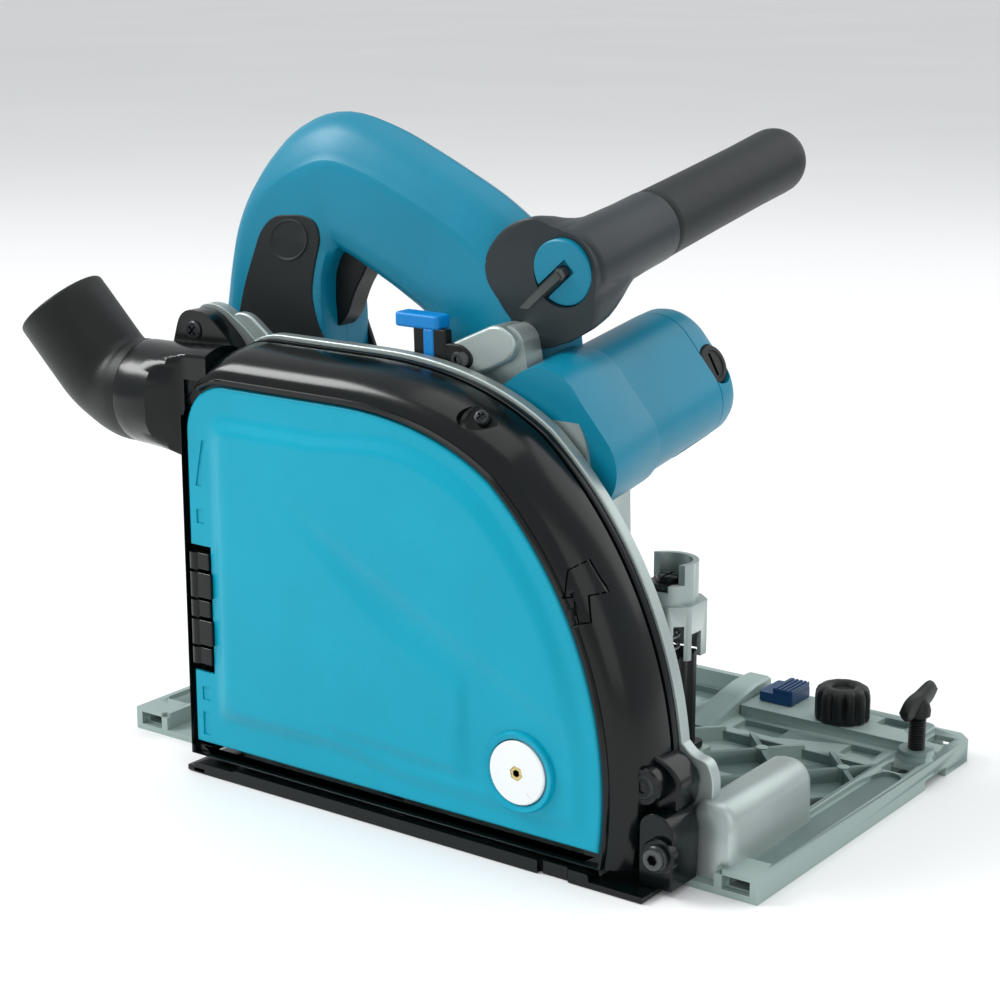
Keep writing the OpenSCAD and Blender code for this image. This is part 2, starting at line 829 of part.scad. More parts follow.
wrench_a = 50;
module grip_cap() {
    color(body_blue) difference() {
        on_grip() cylinder(r = 14.2, h = 4 - e);
        on_grip() translate([0, 0, -1]) cylinder(r = 3.2, h = 8);
        on_grip() rotate([0, 0, wrench_a]) translate([-3.2, 0, -1]) cube([6.4, 16, 4.4]);
    }
}

module hex_wrench() {
    color(soft_black) {
        on_grip() translate([0, 0, -1.8]) cylinder(r = 2.8, h = 116, $fn = 6);
        on_grip() translate([0, 0, 0.2]) rotate([0, 0, wrench_a]) rotate([-90, 0, 0])
            cylinder(r = 2.8, h = 28, $fn = 6);
    }
}

module cord_gland() {
    color(soft_black) translate([-145, handle_y, 146]) rotate([0, 90, 0]) difference() {
        cylinder(r = 7, h = 9.3);
        translate([0, 0, -1]) cylinder(r = 4, h = 20);
    }
}

shell_screws = [[-60, 284], [-18, 262], [-90, 150], [-40, 155]];
module housing_screws() {
    color(steel) for (c = shell_screws)
        bar_y(c, 2, handle_y - shell_t + 5.5, handle_y - shell_t + 8.5);
}

module lever_pin() {
    color(soft_black) bar_y(lever_c, 3, 10.8, 28.7);
}

module plunge_lock_lever() {
    color(bright_blue) difference() {
        union() {
            slab(11.2, 16.5) hull() {
                translate(lever_c) circle(r = 6);
                translate([-4, 198]) circle(r = 4);
            }
            block([-22.5, 10.8, 208], [1, 21, 214.5]);
            block([-12, 11.2, 195], [4, 16.5, 208 + e]);
        }
        bar_y(lever_c, 3 + run_gap, 5, 40);
    }
}

// ---- turning parts ----

module armature_shaft() {
    color(steel) on_motor() {
        translate([0, 0, -24]) cylinder(r = 4, h = barrel_len + 39.5);
        translate([0, 0, -11]) cylinder(r = 5, h = barrel_len + 19);
    }
    color(steel) on_motor() translate([0, 0, -(motor_y - gear_y) / cos(motor_tilt) - gear_w / 2])
        linear_extrude(gear_w) gear_flat(pinion_n, -(to_pinion + 180));
}

module armature_core() {
    color(copper) on_motor() difference() {
        translate([0, 0, 16]) cylinder(r = 21.8, h = 34);
        translate([0, 0, 15]) cylinder(r = 5, h = 40);
        for (k = [0:11]) rotate(k * 30) translate([17, -1.2, 15]) cube([10, 2.4, 40]);
    }
}

module commutator() {
    color(copper) on_motor() translate([0, 0, barrel_len - 1]) difference() {
        cylinder(r = 12, h = 9.5);
        translate([0, 0, -1]) cylinder(r = 5, h = 20);
    }
}

module cooling_fan() {
    color(soft_black) on_motor() difference() {
        union() {
            translate([0, 0, 2]) cylinder(r = 28, h = 2);
            translate([0, 0, 2]) cylinder(r = 9, h = 10);
            for (k = [0:10]) rotate(k * 360 / 11) translate([8, -0.8, 2]) cube([19, 1.6, 9]);
        }
        cylinder(r = 5, h = 20);
    }
}

module intermediate_gear() {
    color(steel) {
        slab(gear_y - gear_w / 2, gear_y + gear_w / 2) translate(idler_c) gear_flat(idler_n,
            idler_phase);
        bar_y(idler_c, 4.97, arm_y + 2.2, motor_y - 2.2);
    }
}

module spindle() {
    color(steel) {
        bar_y(spindle_c, 10, blade_y - 4, gear_y - gear_w / 2);
        bar_y(spindle_c, 8, gear_y - gear_w / 2 - e, motor_y - 9);
        bar_y(spindle_c, 6, motor_y - 9 - e, motor_y + 1);
    }
}

module drive_gear() {
    color(steel) difference() {
        slab(gear_y - gear_w / 2, gear_y + gear_w / 2) translate(spindle_c) gear_flat(drive_n,
            drive_phase);
        bar_y(spindle_c, 8, 0, 60);
    }
}

module inner_flange() {
    color(steel) difference() {
        bar_y(spindle_c, 20, blade_y + 1.5, blade_y + 7);
        bar_y(spindle_c, 10, blade_y, blade_y + 20);
    }
}

module outer_flange() {
    color(steel) difference() {
        bar_y(spindle_c, 20, blade_y - 6, blade_y - 1.5);
        bar_y(spindle_c, 10, blade_y - 4, blade_y);
        bar_y(spindle_c, 4, blade_y - 10, blade_y);
    }
}

// grooving blade: a flat disc with V-shaped teeth that stand wider than the disc
module blade() {
    color(steel) difference() {
        union() {
            bar_y(spindle_c, blade_r - 8, blade_y - 1.5, blade_y + 1.5);
            translate([spindle_c[0], blade_y, spindle_c[1]]) for (k = [0:teeth - 1])
                rotate([0, k * 360 / teeth, 0]) translate([0, 0, blade_r - 11]) rotate([0, 90, 0])
                    translate([0, 0, -5]) linear_extrude(10)
                        polygon([[0, -6.5], [0, 6.5], [-5, 6.5], [-11, 1.5], [-11, -1.5], [-5, -6.5]]);
        }
        bar_y(spindle_c, 10, blade_y - 10, blade_y + 10);
    }
}

module blade_bolt() {
    color(steel) {
        bar_y(spindle_c, 3.9, blade_y - 6, blade_y - 4);
        slab(blade_y - 10.5, blade_y - 6) translate(spindle_c) circle(r = 8, $fn = 6);
    }
}

base_plate();
rail_channel();
front_beam();
rear_beam();
side_shoe();
shoe_bracket();
base_bolts();
pivot_bracket();
pivot_shaft();
case_plate();
case_cover();
case_screws();
hinge_pin();
spring_pillar();
return_spring();
door_panel();
lock_dial();
dust_nozzle();
rail_lever();
rail_knob();
wing_screw_front();
wing_screw_rear();
gear_housing();
depth_tower();
depth_screw();
depth_screw_spring();
motor_housing();
motor_end_cap();
field_stator();
armature_bearings();
brush_holders();
carbon_brushes();
brush_caps();
spindle_bearings();
idler_bearings();
handle_left_shell();
handle_right_shell();
handle_rubber();
switch_body();
grip_bracket();
front_grip();
grip_cap();
cord_gland();
housing_screws();
lever_pin();
armature_shaft();
armature_core();
commutator();
cooling_fan();
intermediate_gear();
spindle();
drive_gear();
inner_flange();
outer_flange();
blade();
blade_bolt();
trigger();
lock_off_button();
plunge_lock_lever();
hex_wrench();
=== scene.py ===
"""Looks of the plunge grooving saw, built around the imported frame. Lengths are in millimetres
until a mesh is made, and X runs forward, Y towards the motor, Z up from the sole."""

import json
import math

import bmesh
import bpy
from mathutils import Matrix, Vector


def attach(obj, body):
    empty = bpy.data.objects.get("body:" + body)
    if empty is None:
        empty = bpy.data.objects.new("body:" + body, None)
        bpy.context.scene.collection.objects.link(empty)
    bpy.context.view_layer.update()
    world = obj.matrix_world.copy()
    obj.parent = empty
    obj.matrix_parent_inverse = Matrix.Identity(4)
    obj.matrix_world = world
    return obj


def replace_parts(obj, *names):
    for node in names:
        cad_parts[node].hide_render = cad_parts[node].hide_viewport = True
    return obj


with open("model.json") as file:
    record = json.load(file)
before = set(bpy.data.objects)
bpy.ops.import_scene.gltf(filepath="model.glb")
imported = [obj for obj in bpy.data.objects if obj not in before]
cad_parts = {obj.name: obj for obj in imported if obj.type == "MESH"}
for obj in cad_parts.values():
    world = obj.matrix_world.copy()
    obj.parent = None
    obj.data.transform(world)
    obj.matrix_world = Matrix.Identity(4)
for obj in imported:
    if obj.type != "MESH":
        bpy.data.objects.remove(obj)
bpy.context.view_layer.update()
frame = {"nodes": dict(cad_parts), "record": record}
MM = 0.001
# faces of a box whose corners are listed as one end's four, then the other's
BOX_FACES = [(0, 1, 2, 3), (4, 5, 6, 7), (0, 1, 5, 4), (1, 2, 6, 5), (2, 3, 7, 6), (3, 0, 4, 7)]

# ---------------------------------------------------------------- design values
ARC_C = (-54.0, 35.0)
ARC_R = 165.0
DOOR_REAR = -109.0
DOOR_TOP = 180.0
DOOR_FOOT = 14.0
DOOR_Y = -30.0
PLATE_Y = 4.0
FLARE = 17.5
CASE_FOOT = 8.0
HINGE = (-106.0, -26.5)
DIAL = (72.0, 41.0)
PORT = (-14.0, 169.5)
PORT_END = -144.0
EAR = (-123.0, 198.0)
MOTOR_O = Vector((52.0, 44.0, 166.9))
MOTOR_TILT = math.radians(8.6)
MOTOR_WAY = Vector((0, math.cos(MOTOR_TILT), math.sin(MOTOR_TILT)))
GRIP_O = Vector((52.0, 28.0, 235.2))
GRIP_TILT = math.radians(10.1)
GRIP_WAY = Vector((0, math.cos(GRIP_TILT), math.sin(GRIP_TILT)))
HANDLE_Y = 46.0
SHELL_T = 17.0
HANDLE_TOP = 293.3
PARTING = 0.12  # half the gap between the handle's two shells
TOWER = (61.5, 100.0)
BASE_HALF = 170.0
BASE_NEAR = -5.0
BASE_FAR = 194.0
RAIL_Y = 154.5
KNOB = (112.0, 175.0)
WRENCH_A = math.radians(50)


# ---------------------------------------------------------------- materials
def node_tree(name):
    mat = bpy.data.materials.new(name)
    mat.use_nodes = True
    nodes = mat.node_tree.nodes
    return mat, nodes, mat.node_tree.links, nodes["Principled BSDF"]


def noise(nodes, links, coord, scale, detail=3.0, rough=0.5):
    tex = nodes.new("ShaderNodeTexNoise")
    tex.inputs["Scale"].default_value = scale
    tex.inputs["Detail"].default_value = detail
    tex.inputs["Roughness"].default_value = rough
    links.new(coord.outputs["Object"], tex.inputs["Vector"])
    return tex


def ramp(nodes, links, source, stops):
    out = nodes.new("ShaderNodeValToRGB")
    out.color_ramp.elements[0].position = stops[0][0]
    out.color_ramp.elements[0].color = (*stops[0][1], 1)
    out.color_ramp.elements[1].position = stops[1][0]
    out.color_ramp.elements[1].color = (*stops[1][1], 1)
    links.new(source, out.inputs["Fac"])
    return out


def map_range(nodes, links, source, low, high):
    out = nodes.new("ShaderNodeMapRange")
    out.inputs["To Min"].default_value = low
    out.inputs["To Max"].default_value = high
    links.new(source, out.inputs["Value"])
    return out


def shade(color, k):
    return tuple(min(1.0, c * k) for c in color)


def surface(name, color, rough=0.35, vary=0.12, grain=900.0, bump=0.08, metal=0.0, wear=None,
            blotch=25.0, rough_vary=0.08, gloss=0.3):
    """A moulded, cast or machined surface: broad tone drift, fine grain in bump and roughness, and
    worn or dirty edges where wear gives their colour."""
    mat, nodes, links, bsdf = node_tree(name)
    coord = nodes.new("ShaderNodeTexCoord")
    drift = noise(nodes, links, coord, blotch, 4.0)
    tone = ramp(nodes, links, drift.outputs["Fac"],
                [(0.3, shade(color, 1 - vary)), (0.7, shade(color, 1 + vary))])
    base = tone.outputs["Color"]
    if wear:
        geo = nodes.new("ShaderNodeNewGeometry")
        edge = ramp(nodes, links, geo.outputs["Pointiness"], [(0.53, (0, 0, 0)), (0.62, (1, 1, 1))])
        mix = nodes.new("ShaderNodeMix")
        mix.data_type = "RGBA"
        mix.inputs["B"].default_value = (*wear, 1)
        links.new(edge.outputs["Color"], mix.inputs["Factor"])
        links.new(base, mix.inputs["A"])
        base = mix.outputs["Result"]
    links.new(base, bsdf.inputs["Base Color"])
    fine = noise(nodes, links, coord, grain, 2.0)
    spread = map_range(nodes, links, fine.outputs["Fac"], rough - rough_vary, rough + rough_vary)
    links.new(spread.outputs["Result"], bsdf.inputs["Roughness"])
    relief = nodes.new("ShaderNodeBump")
    relief.inputs["Strength"].default_value = bump
    relief.inputs["Distance"].default_value = 0.0004
    links.new(fine.outputs["Fac"], relief.inputs["Height"])
    links.new(relief.outputs["Normal"], bsdf.inputs["Normal"])
    bsdf.inputs["Metallic"].default_value = metal
    bsdf.inputs["Specular IOR Level"].default_value = gloss
    return mat


def machined(name, color, rough=0.28, axis_scale=(40.0, 1500.0, 1500.0), bump=0.12):
    """Turned or brushed metal: fine streaks across one direction."""
    mat, nodes, links, bsdf = node_tree(name)
    coord = nodes.new("ShaderNodeTexCoord")
    mapping = nodes.new("ShaderNodeMapping")
    mapping.inputs["Scale"].default_value = axis_scale
    links.new(coord.outputs["Object"], mapping.inputs["Vector"])
    streak = nodes.new("ShaderNodeTexNoise")
    streak.inputs["Scale"].default_value = 1.0
    streak.inputs["Detail"].default_value = 3.0
    links.new(mapping.outputs["Vector"], streak.inputs["Vector"])
    tone = ramp(nodes, links, streak.outputs["Fac"], [(0.3, shade(color, 0.82)), (0.7, shade(color, 1.1))])
    links.new(tone.outputs["Color"], bsdf.inputs["Base Color"])
    spread = map_range(nodes, links, streak.outputs["Fac"], rough - 0.08, rough + 0.12)
    links.new(spread.outputs["Result"], bsdf.inputs["Roughness"])
    relief = nodes.new("ShaderNodeBump")
    relief.inputs["Strength"].default_value = bump
    relief.inputs["Distance"].default_value = 0.0002
    links.new(streak.outputs["Fac"], relief.inputs["Height"])
    links.new(relief.outputs["Normal"], bsdf.inputs["Normal"])
    bsdf.inputs["Metallic"].default_value = 1.0
    return mat


MATS = {
    # blue_shell is a darker copy of blue_door: painted shade on the motor, handle and grip cap shells, the
    # same blue plastic as the door
    "blue_shell": surface("blue_shell", (0.0, 0.19, 0.30), 0.38, 0.06, 1400, 0.05),
    "blue_door": surface("blue_door", (0.0, 0.31, 0.44), 0.3, 0.04, 1600, 0.03, gloss=0.22),
    "gloss_black": surface("gloss_black", (0.0012, 0.003, 0.003), 0.2, 0.3, 1200, 0.02, rough_vary=0.05),
    "soft_black": surface("soft_black", (0.003, 0.0045, 0.0045), 0.45, 0.15, 2200, 0.15),
    "grip_rubber": surface("grip_rubber", (0.004, 0.008, 0.009), 0.5, 0.15, 2600, 0.2),
    "bracket_grey": surface("bracket_grey", (0.012, 0.02, 0.023), 0.42, 0.12, 2000, 0.12),
    "bright_blue": surface("bright_blue", (0.0, 0.21, 0.58), 0.34, 0.06, 1500, 0.05),
    "lever_blue": surface("lever_blue", (0.0015, 0.035, 0.11), 0.35, 0.1, 1500, 0.08),
    "cast_grey": surface("cast_grey", (0.15, 0.215, 0.205), 0.5, 0.1, 2600, 0.3, metal=0.35,
                         wear=(0.33, 0.42, 0.4)),
    "cast_silver": surface("cast_silver", (0.36, 0.42, 0.41), 0.38, 0.08, 2400, 0.22, metal=0.7,
                           wear=(0.62, 0.68, 0.67)),
    "black_steel": surface("black_steel", (0.008, 0.01, 0.011), 0.32, 0.2, 1800, 0.1, metal=0.4,
                           wear=(0.08, 0.09, 0.09)),
    "steel": machined("steel", (0.52, 0.54, 0.56)),
    "copper": machined("copper", (0.62, 0.3, 0.16)),
    "brass": machined("brass", (0.68, 0.52, 0.22)),
    "carbon": surface("carbon", (0.015, 0.015, 0.016), 0.6, 0.2, 2600, 0.3),
    "dial_metal": surface("dial_metal", (0.8, 0.82, 0.82), 0.42, 0.03, 900, 0.03, metal=0.25),
}


# ---------------------------------------------------------------- mesh helpers
def place(name, verts, faces, slot, body, replaces=(), angle=32.0):
    mesh = bpy.data.meshes.new(name)
    mesh.from_pydata([tuple(c * MM for c in v) for v in verts], [], faces)
    obj = bpy.data.objects.new(name, mesh)
    bpy.context.collection.objects.link(obj)
    tidy(obj, angle)
    return dress(obj, slot, body, replaces)


def tidy(obj, angle=32.0):
    bm = bmesh.new()
    bm.from_mesh(obj.data)
    bmesh.ops.remove_doubles(bm, verts=bm.verts, dist=1e-6)
    bmesh.ops.dissolve_degenerate(bm, edges=bm.edges, dist=1e-6)
    bmesh.ops.recalc_face_normals(bm, faces=bm.faces)
    bm.to_mesh(obj.data)
    bm.free()
    obj.data.shade_smooth()
    obj.data.set_sharp_from_angle(angle=math.radians(angle))


def dress(obj, slot, body, replaces=()):
    obj.data.materials.clear()
    obj.data.materials.append(MATS[slot])
    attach(obj, body)
    if replaces:
        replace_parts(obj, *replaces)
    return obj


def run_modifier(obj, kind, **values):
    mod = obj.modifiers.new(kind.lower(), kind)
    for key, value in values.items():
        setattr(mod, key, value)
    graph = bpy.context.evaluated_depsgraph_get()
    mesh = bpy.data.meshes.new_from_object(obj.evaluated_get(graph))
    obj.modifiers.clear()
    old = obj.data
    obj.data = mesh
    bpy.data.meshes.remove(old)
    return obj


def soften(obj, width, segments=3, angle=30.0):
    run_modifier(obj, "BEVEL", width=width * MM, segments=segments, limit_method="ANGLE",
                 angle_limit=math.radians(angle), harden_normals=False)
    tidy(obj, 32.0)
    run_modifier(obj, "WEIGHTED_NORMAL", keep_sharp=True, weight=60)
    return obj


def loose(verts, faces):
    """A tool mesh for a boolean, not yet part of the object."""
    mesh = bpy.data.meshes.new("tool")
    mesh.from_pydata([tuple(c * MM for c in v) for v in verts], [], faces)
    obj = bpy.data.objects.new("tool", mesh)
    bpy.context.collection.objects.link(obj)
    tidy(obj)
    return obj


def boolean(obj, shapes, how):
    """Adds or cuts closed shapes, each given as verts and faces."""
    for tool in [loose(*shape) for shape in shapes]:
        run_modifier(obj, "BOOLEAN", object=tool, operation=how, solver="EXACT")
        bpy.data.objects.remove(tool)
    return obj


def rings_mesh(rings, closed_ends=True):
    """Verts and faces of a skin over rings of equal length."""
    n = len(rings[0])
    verts = [v for r in rings for v in r]
    faces = []
    for i in range(len(rings) - 1):
        for k in range(n):
            k2 = (k + 1) % n
            faces.append((i * n + k, i * n + k2, (i + 1) * n + k2, (i + 1) * n + k))
    if closed_ends:
        faces.append(tuple(range(n))[::-1])
        faces.append(tuple(range((len(rings) - 1) * n, len(rings) * n)))
    return verts, faces


def prism_y(outline, y0, y1):
    return rings_mesh([[(x, y, z) for x, z in outline] for y in (y0, y1)])


def prism_z(outline, z0, z1):
    return rings_mesh([[(x, y, z) for x, y in outline] for z in (z0, z1)])


def rect(x0, y0, x1, y1):
    return [(x0, y0), (x1, y0), (x1, y1), (x0, y1)]


def box(low, high):
    return prism_z(rect(low[0], low[1], high[0], high[1]), low[2], high[2])


def turned(profile, origin, along, n=64, closed=True):
    """Profile of (radius, distance) pairs turned about the line through origin along a direction."""
    along = Vector(along).normalized()
    side = along.orthogonal().normalized()
    other = along.cross(side)
    origin = Vector(origin)
    rings = []
    for r, h in profile:
        rings.append([tuple(origin + along * h + (side * math.cos(a) + other * math.sin(a)) * r)
                      for a in (2 * math.pi * k / n for k in range(n))])
    return rings_mesh(rings, closed)


def tube(profile, origin, along, n):
    """A turned skin whose last ring joins its first: profile has four points."""
    verts, faces = turned(profile, origin, along, n, False)
    faces += [(3 * n + i, 3 * n + (i + 1) % n, (i + 1) % n, i) for i in range(n)]
    return verts, faces


def circle(c, r, n=48):
    return [(c[0] + r * math.cos(2 * math.pi * k / n),
             c[1] + r * math.sin(2 * math.pi * k / n)) for k in range(n)]


def rounded(corners, radius, n=6):
    """A closed outline with its corners rounded; radius is one value or one for each corner."""
    out = []
    count = len(corners)
    radii = [radius] * count if isinstance(radius, (int, float)) else radius
    for i, r in enumerate(radii):
        p = Vector(corners[i])
        a = (Vector(corners[i - 1]) - p)
        b = (Vector(corners[(i + 1) % count]) - p)
        r = min(r, a.length * 0.49, b.length * 0.49)
        if r <= 0:
            out.append(tuple(p))
            continue
        start = p + a.normalized() * r
        end = p + b.normalized() * r
        for k in range(n + 1):
            t = k / n
            out.append(tuple(start * (1 - t) ** 2 + p * 2 * t * (1 - t) + end * t * t))
    return out


def smoothstep(low, high, value):
    t = max(0.0, min(1.0, (value - low) / (high - low)))
    return t * t * (3 - 2 * t)


# ---------------------------------------------------------------- case
def case_outline(g, foot, rear_grow=None):
    """Outline of the case, grown by g, from its rear foot round over the top to its front foot."""
    rear = DOOR_REAR - (min(g, 3.0) if rear_grow is None else rear_grow)
    top = DOOR_TOP + g
    r = ARC_R + g
    corner = max(22.0 + g * 0.5, 2.0)
    pts = [(rear, foot + (top - corner - foot) * k / 30) for k in range(30)]
    for k in range(13):
        a = math.pi - math.pi / 2 * k / 12
        pts.append((rear + corner + corner * math.cos(a), top - corner + corner * math.sin(a)))
    knee_x = ARC_C[0] + math.sqrt(max(r * r - (top - ARC_C[1]) ** 2, 0))
    flat_end = min(-25.0, knee_x - 5)
    pts += [(rear + corner + (flat_end - rear - corner) * k / 16, top) for k in range(1, 16)]
    start_a = math.asin(min(1.0, (top - ARC_C[1]) / r)) - math.radians(13)
    arc_start = (ARC_C[0] + r * math.cos(start_a), ARC_C[1] + r * math.sin(start_a))
    for k in range(17):
        t = k / 16
        pts.append(tuple((1 - t) ** 2 * p + 2 * t * (1 - t) * q + t * t * s
                         for p, q, s in zip((flat_end, top), (knee_x, top), arc_start)))
    end_a = math.asin((foot - ARC_C[1]) / r)
    for k in range(1, 41):
        a = start_a + (end_a - start_a) * k / 40
        pts.append((ARC_C[0] + r * math.cos(a), ARC_C[1] + r * math.sin(a)))
    last = pts[-1]
    pts += [(last[0] + (rear - last[0]) * k / 40, foot) for k in range(1, 40)]
    return pts


def door():
    """Door: a face of shallow panels inside a rounded rim, shaped on rings drawn in towards one centre."""
    y_back = DOOR_Y + 4.0
    outline = case_outline(0.0, DOOR_FOOT, 0.0)
    centre = Vector((-18.0, 88.0))
    rim = [(Vector(outline[i]), Vector(outline[(i + 1) % len(outline)])) for i in range(len(outline))]
    spans = [(a, b - a, (b - a).length_squared) for a, b in rim]

    def inset(p):
        best = 1e9
        for a, d, l2 in spans:
            if l2 < 1e-9:
                continue
            t = max(0.0, min(1.0, (p - a).dot(d) / l2))
            q = p - a - d * t
            best = min(best, q.length_squared)
        return math.sqrt(best)

    def side(p, a, b):
        """Height of p over the line from a to b."""
        return (p.y - a[1]) - (b[1] - a[1]) * (p.x - a[0]) / (b[0] - a[0])

    def relief(p, d):
        band = 13.5 + 6.0 * smoothstep(20.0, -40.0, p.x)
        h = 2.6 * smoothstep(band - 7.5, band + 1.5, d)
        if p.x < -84.0:
            h *= smoothstep(-103.0, -84.0, p.x)
        open_out = smoothstep(-62.0, 10.0, p.x)
        upper = side(p, (-45.0, 134.0), (95.0, 66.0))
        width = 7.0 + 11.0 * open_out
        valley = smoothstep(2.0, -width * 0.55, upper) * (1 - smoothstep(-width * 0.55, -width * 1.5,
                                                                         upper))
        h -= 1.7 * valley * open_out * smoothstep(6, 18, d)
        low = smoothstep(-width * 0.6, -width * 1.5, upper)
        floor = 1.5 * open_out * smoothstep(6, 18, d)
        h -= floor * low
        panel = smoothstep(46.5, 41.0, p.x) * smoothstep(30.0, 37.0, p.y + 0.06 * (p.x - 45.0)) * low
        h += floor * panel
        return h

    shrink = [0.0]
    while shrink[-1] < 0.985:
        shrink.append(shrink[-1] + (0.006 if shrink[-1] < 0.03 else 0.0125))
    rings = [[(x, y_back, z) for x, z in outline], [(x, DOOR_Y + 3.7, z) for x, z in outline]]
    for t in shrink[1:]:
        ring = []
        for x, z in outline:
            p = Vector((x, z)).lerp(centre, t)
            d = inset(p)
            edge = 1.5 * (1 - math.sqrt(max(0.0, 1 - (1 - min(d / 1.6, 1.0)) ** 2)))
            ring.append((p.x, DOOR_Y + 2.6 + edge * 0.7 - relief(p, d) * 1.05, p.y))
        rings.append(ring)
    verts, faces = rings_mesh(rings)
    obj = place("door_skin", verts, faces, "blue_door", "door", ["door_panel"], 50.0)
    cuts = [turned([(14.2, 0), (14.2, 20)], (DIAL[0], DOOR_Y + 2.0 - 20, DIAL[1]), (0, 1, 0)),
            turned([(4.1, 0), (4.1, 40)], (DIAL[0], DOOR_Y - 10, DIAL[1]), (0, 1, 0), 32),
            box((DOOR_REAR - 2, DOOR_Y - 4, 48.0), (HINGE[0] + 9.5, y_back + 1, 107.0))]
    for z0, z1 in ((117.0, 123.5), (34.5, 41.0)):
        cuts.append(box((-104.5, DOOR_Y - 4, z0), (-100.0, DOOR_Y + 3.2, z1)))
    cuts.append(prism_y([(-104.5, 134), (-101.0, 134), (-98.0, 155), (-100.0, 155)], DOOR_Y - 4,
                        DOOR_Y + 3.2))
    cuts.append(box((-104.5, DOOR_Y - 4, 18.0), (-100.5, DOOR_Y + 3.2, 29.0)))
    boolean(obj, cuts, "DIFFERENCE")
    tidy(obj, 50.0)
    ring = turned([(14.2, 2.4), (14.2, 0.2), (15.0, -0.5), (16.6, -0.6), (17.2, 0.4), (17.2, 2.4)],
                  (DIAL[0], DOOR_Y, DIAL[1]), (0, 1, 0), 72, False)
    place("dial_rim", *ring, "blue_door", "door", (), 40.0)
    for k, (z0, z1) in enumerate(((61.2, 72.8), (83.2, 94.8))):
        knuckle = tube([(1.6, z0), (3.2, z0), (3.2, z1), (1.6, z1)], (*HINGE, 0), (0, 0, 1), 32)
        place("door_knuckle_%d" % k, *knuckle, "gloss_black", "door")
        v, f = box((HINGE[0] + 2.2, HINGE[1] - 2.6, z0), (HINGE[0] + 10.2, HINGE[1] + 0.4, z1))
        soften(place("door_hinge_leaf_%d" % k, v, f, "gloss_black", "door"), 0.6)


def flare_depth(a):
    return -26.0 + 24.5 * (1 - math.cos(a)) ** 0.95


def flare_y(g):
    """Depth of the cover's flare where the outline has grown by g."""
    return flare_depth(math.asin(max(0.0, min(1.0, (g - 3.2) / (FLARE - 4.2))) ** (1 / 0.92)))


def hinge_room():
    """Clearance round the hinge, for the door's rear edge to swing into."""
    return turned([(5.4, DOOR_FOOT - 2), (5.4, DOOR_TOP + 0.5)], (*HINGE, 0), (0, 0, 1), 48)


def cover():
    """Glossy cover: a flared skin from the door seat to the rim, with its screw well, arrow groove and
    hinge.
    """
    stations = [(-25.7, -2.2), (-25.7, 0.8), (-27.6, 0.9), (-28.4, 1.4), (-28.4, 2.4), (-27.6, 3.0),
                (-26.2, 3.2)]
    for k in range(1, 17):
        a = math.pi / 2 * k / 16
        stations.append((flare_depth(a), 3.2 + (FLARE - 4.2) * math.sin(a) ** 0.92))
    stations += [(-0.8, FLARE - 1.0), (-0.7, FLARE - 1.9), (0.3, FLARE - 1.9), (0.4, FLARE - 0.4),
                 (1.2, FLARE),
                 (3.95, FLARE)]
    rings = [[(x, y, z) for x, z in case_outline(g, CASE_FOOT + max(0, 1.5 - g))] for y, g in stations]
    inner = [(3.95, FLARE - 3.0), (-6.0, FLARE - 4.5), (-18.0, 6.5), (-23.2, 0.0), (-23.2, -7.5),
             (-25.7, -7.5)]
    rings += [[(x, y, z) for x, z in case_outline(g, CASE_FOOT + 0.2)] for y, g in inner]
    rings.append(rings[0])
    verts, faces = rings_mesh(rings, False)
    obj = place("cover_skin", verts, faces, "gloss_black", "base", ["case_cover"], 38.0)
    # the skirt along the bottom is open for the blade
    boolean(obj, [box((-104, -23, CASE_FOOT - 2), (100, 3.5, CASE_FOOT + 3.5)), hinge_room()], "DIFFERENCE")
    # oval well with its screw, sunk into the flared face
    way = Vector((-0.18, 0.80, -0.57)).normalized()
    across = Vector((0.85, 0.42, 0.32)).normalized()
    across = (across - way * across.dot(way)).normalized()
    centre = Vector((43.5, -17.5, 183.5))
    well = turned([(6.8, -12), (6.8, 4.2), (5.8, 5.2)], centre, way, 48)
    stretched = []
    for v in well[0]:
        p = Vector(v) - centre
        stretched.append(tuple(centre + p + across * p.dot(across) * 0.38))
    boolean(obj, [(stretched, well[1])], "DIFFERENCE")
    # outline arrow cut as a fine groove that follows the flare
    arrow = [(92, 128.5), (96.5, 131.5), (104.5, 119.5), (100.3, 119), (103, 109), (98.5, 108.2),
             (95.2, 118.2), (92, 117.8)]
    for i, p in enumerate(arrow):
        start, end = Vector(p), Vector(arrow[(i + 1) % len(arrow)])
        for k in range(3):
            a, b = start.lerp(end, k / 3), start.lerp(end, (k + 1) / 3)
            floor = flare_y(((a + b) / 2 - Vector(ARC_C)).length - ARC_R) + 1.0
            d = (b - a).normalized() * 0.3
            n = Vector((-d.y, d.x))
            line = [tuple(a - d - n), tuple(b + d - n), tuple(b + d + n), tuple(a - d + n)]
            boolean(obj, [prism_y(line, -31.0, floor)], "DIFFERENCE")
    tidy(obj, 38.0)
    for k, (z0, z1) in enumerate(((52.2, 59.8), (74.2, 81.8), (96.2, 103.8))):
        knuckle = tube([(1.7, z0), (3.2, z0), (3.2, z1), (1.7, z1)], (*HINGE, 0), (0, 0, 1), 32)
        place("cover_knuckle_%d" % k, *knuckle, "gloss_black", "base")
        soften(place("cover_leaf_%d" % k, *box((HINGE[0] + 2.2, HINGE[1] - 2.2, z0),
                                               (HINGE[0] + 9.0, HINGE[1] + 0.6, z1)),
                     "gloss_black", "base"), 0.5)
    pin = turned([(1.45, 52.0), (1.45, 104.0)], (*HINGE, 0), (0, 0, 1), 24)
    place("hinge_pin_skin", *pin, "gloss_black", "base", ["hinge_pin"])
    soften(place("hinge_backing", *box((HINGE[0] - 3.0, HINGE[1] + 3.4, 47),
                                       (HINGE[0] + 10, HINGE[1] + 4.4, 108)),
                 "gloss_black", "base"), 0.3, 2)
    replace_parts(screw("cover_screw_top", centre + way * 3.4, -way, 3.1, "base"), "case_screws")


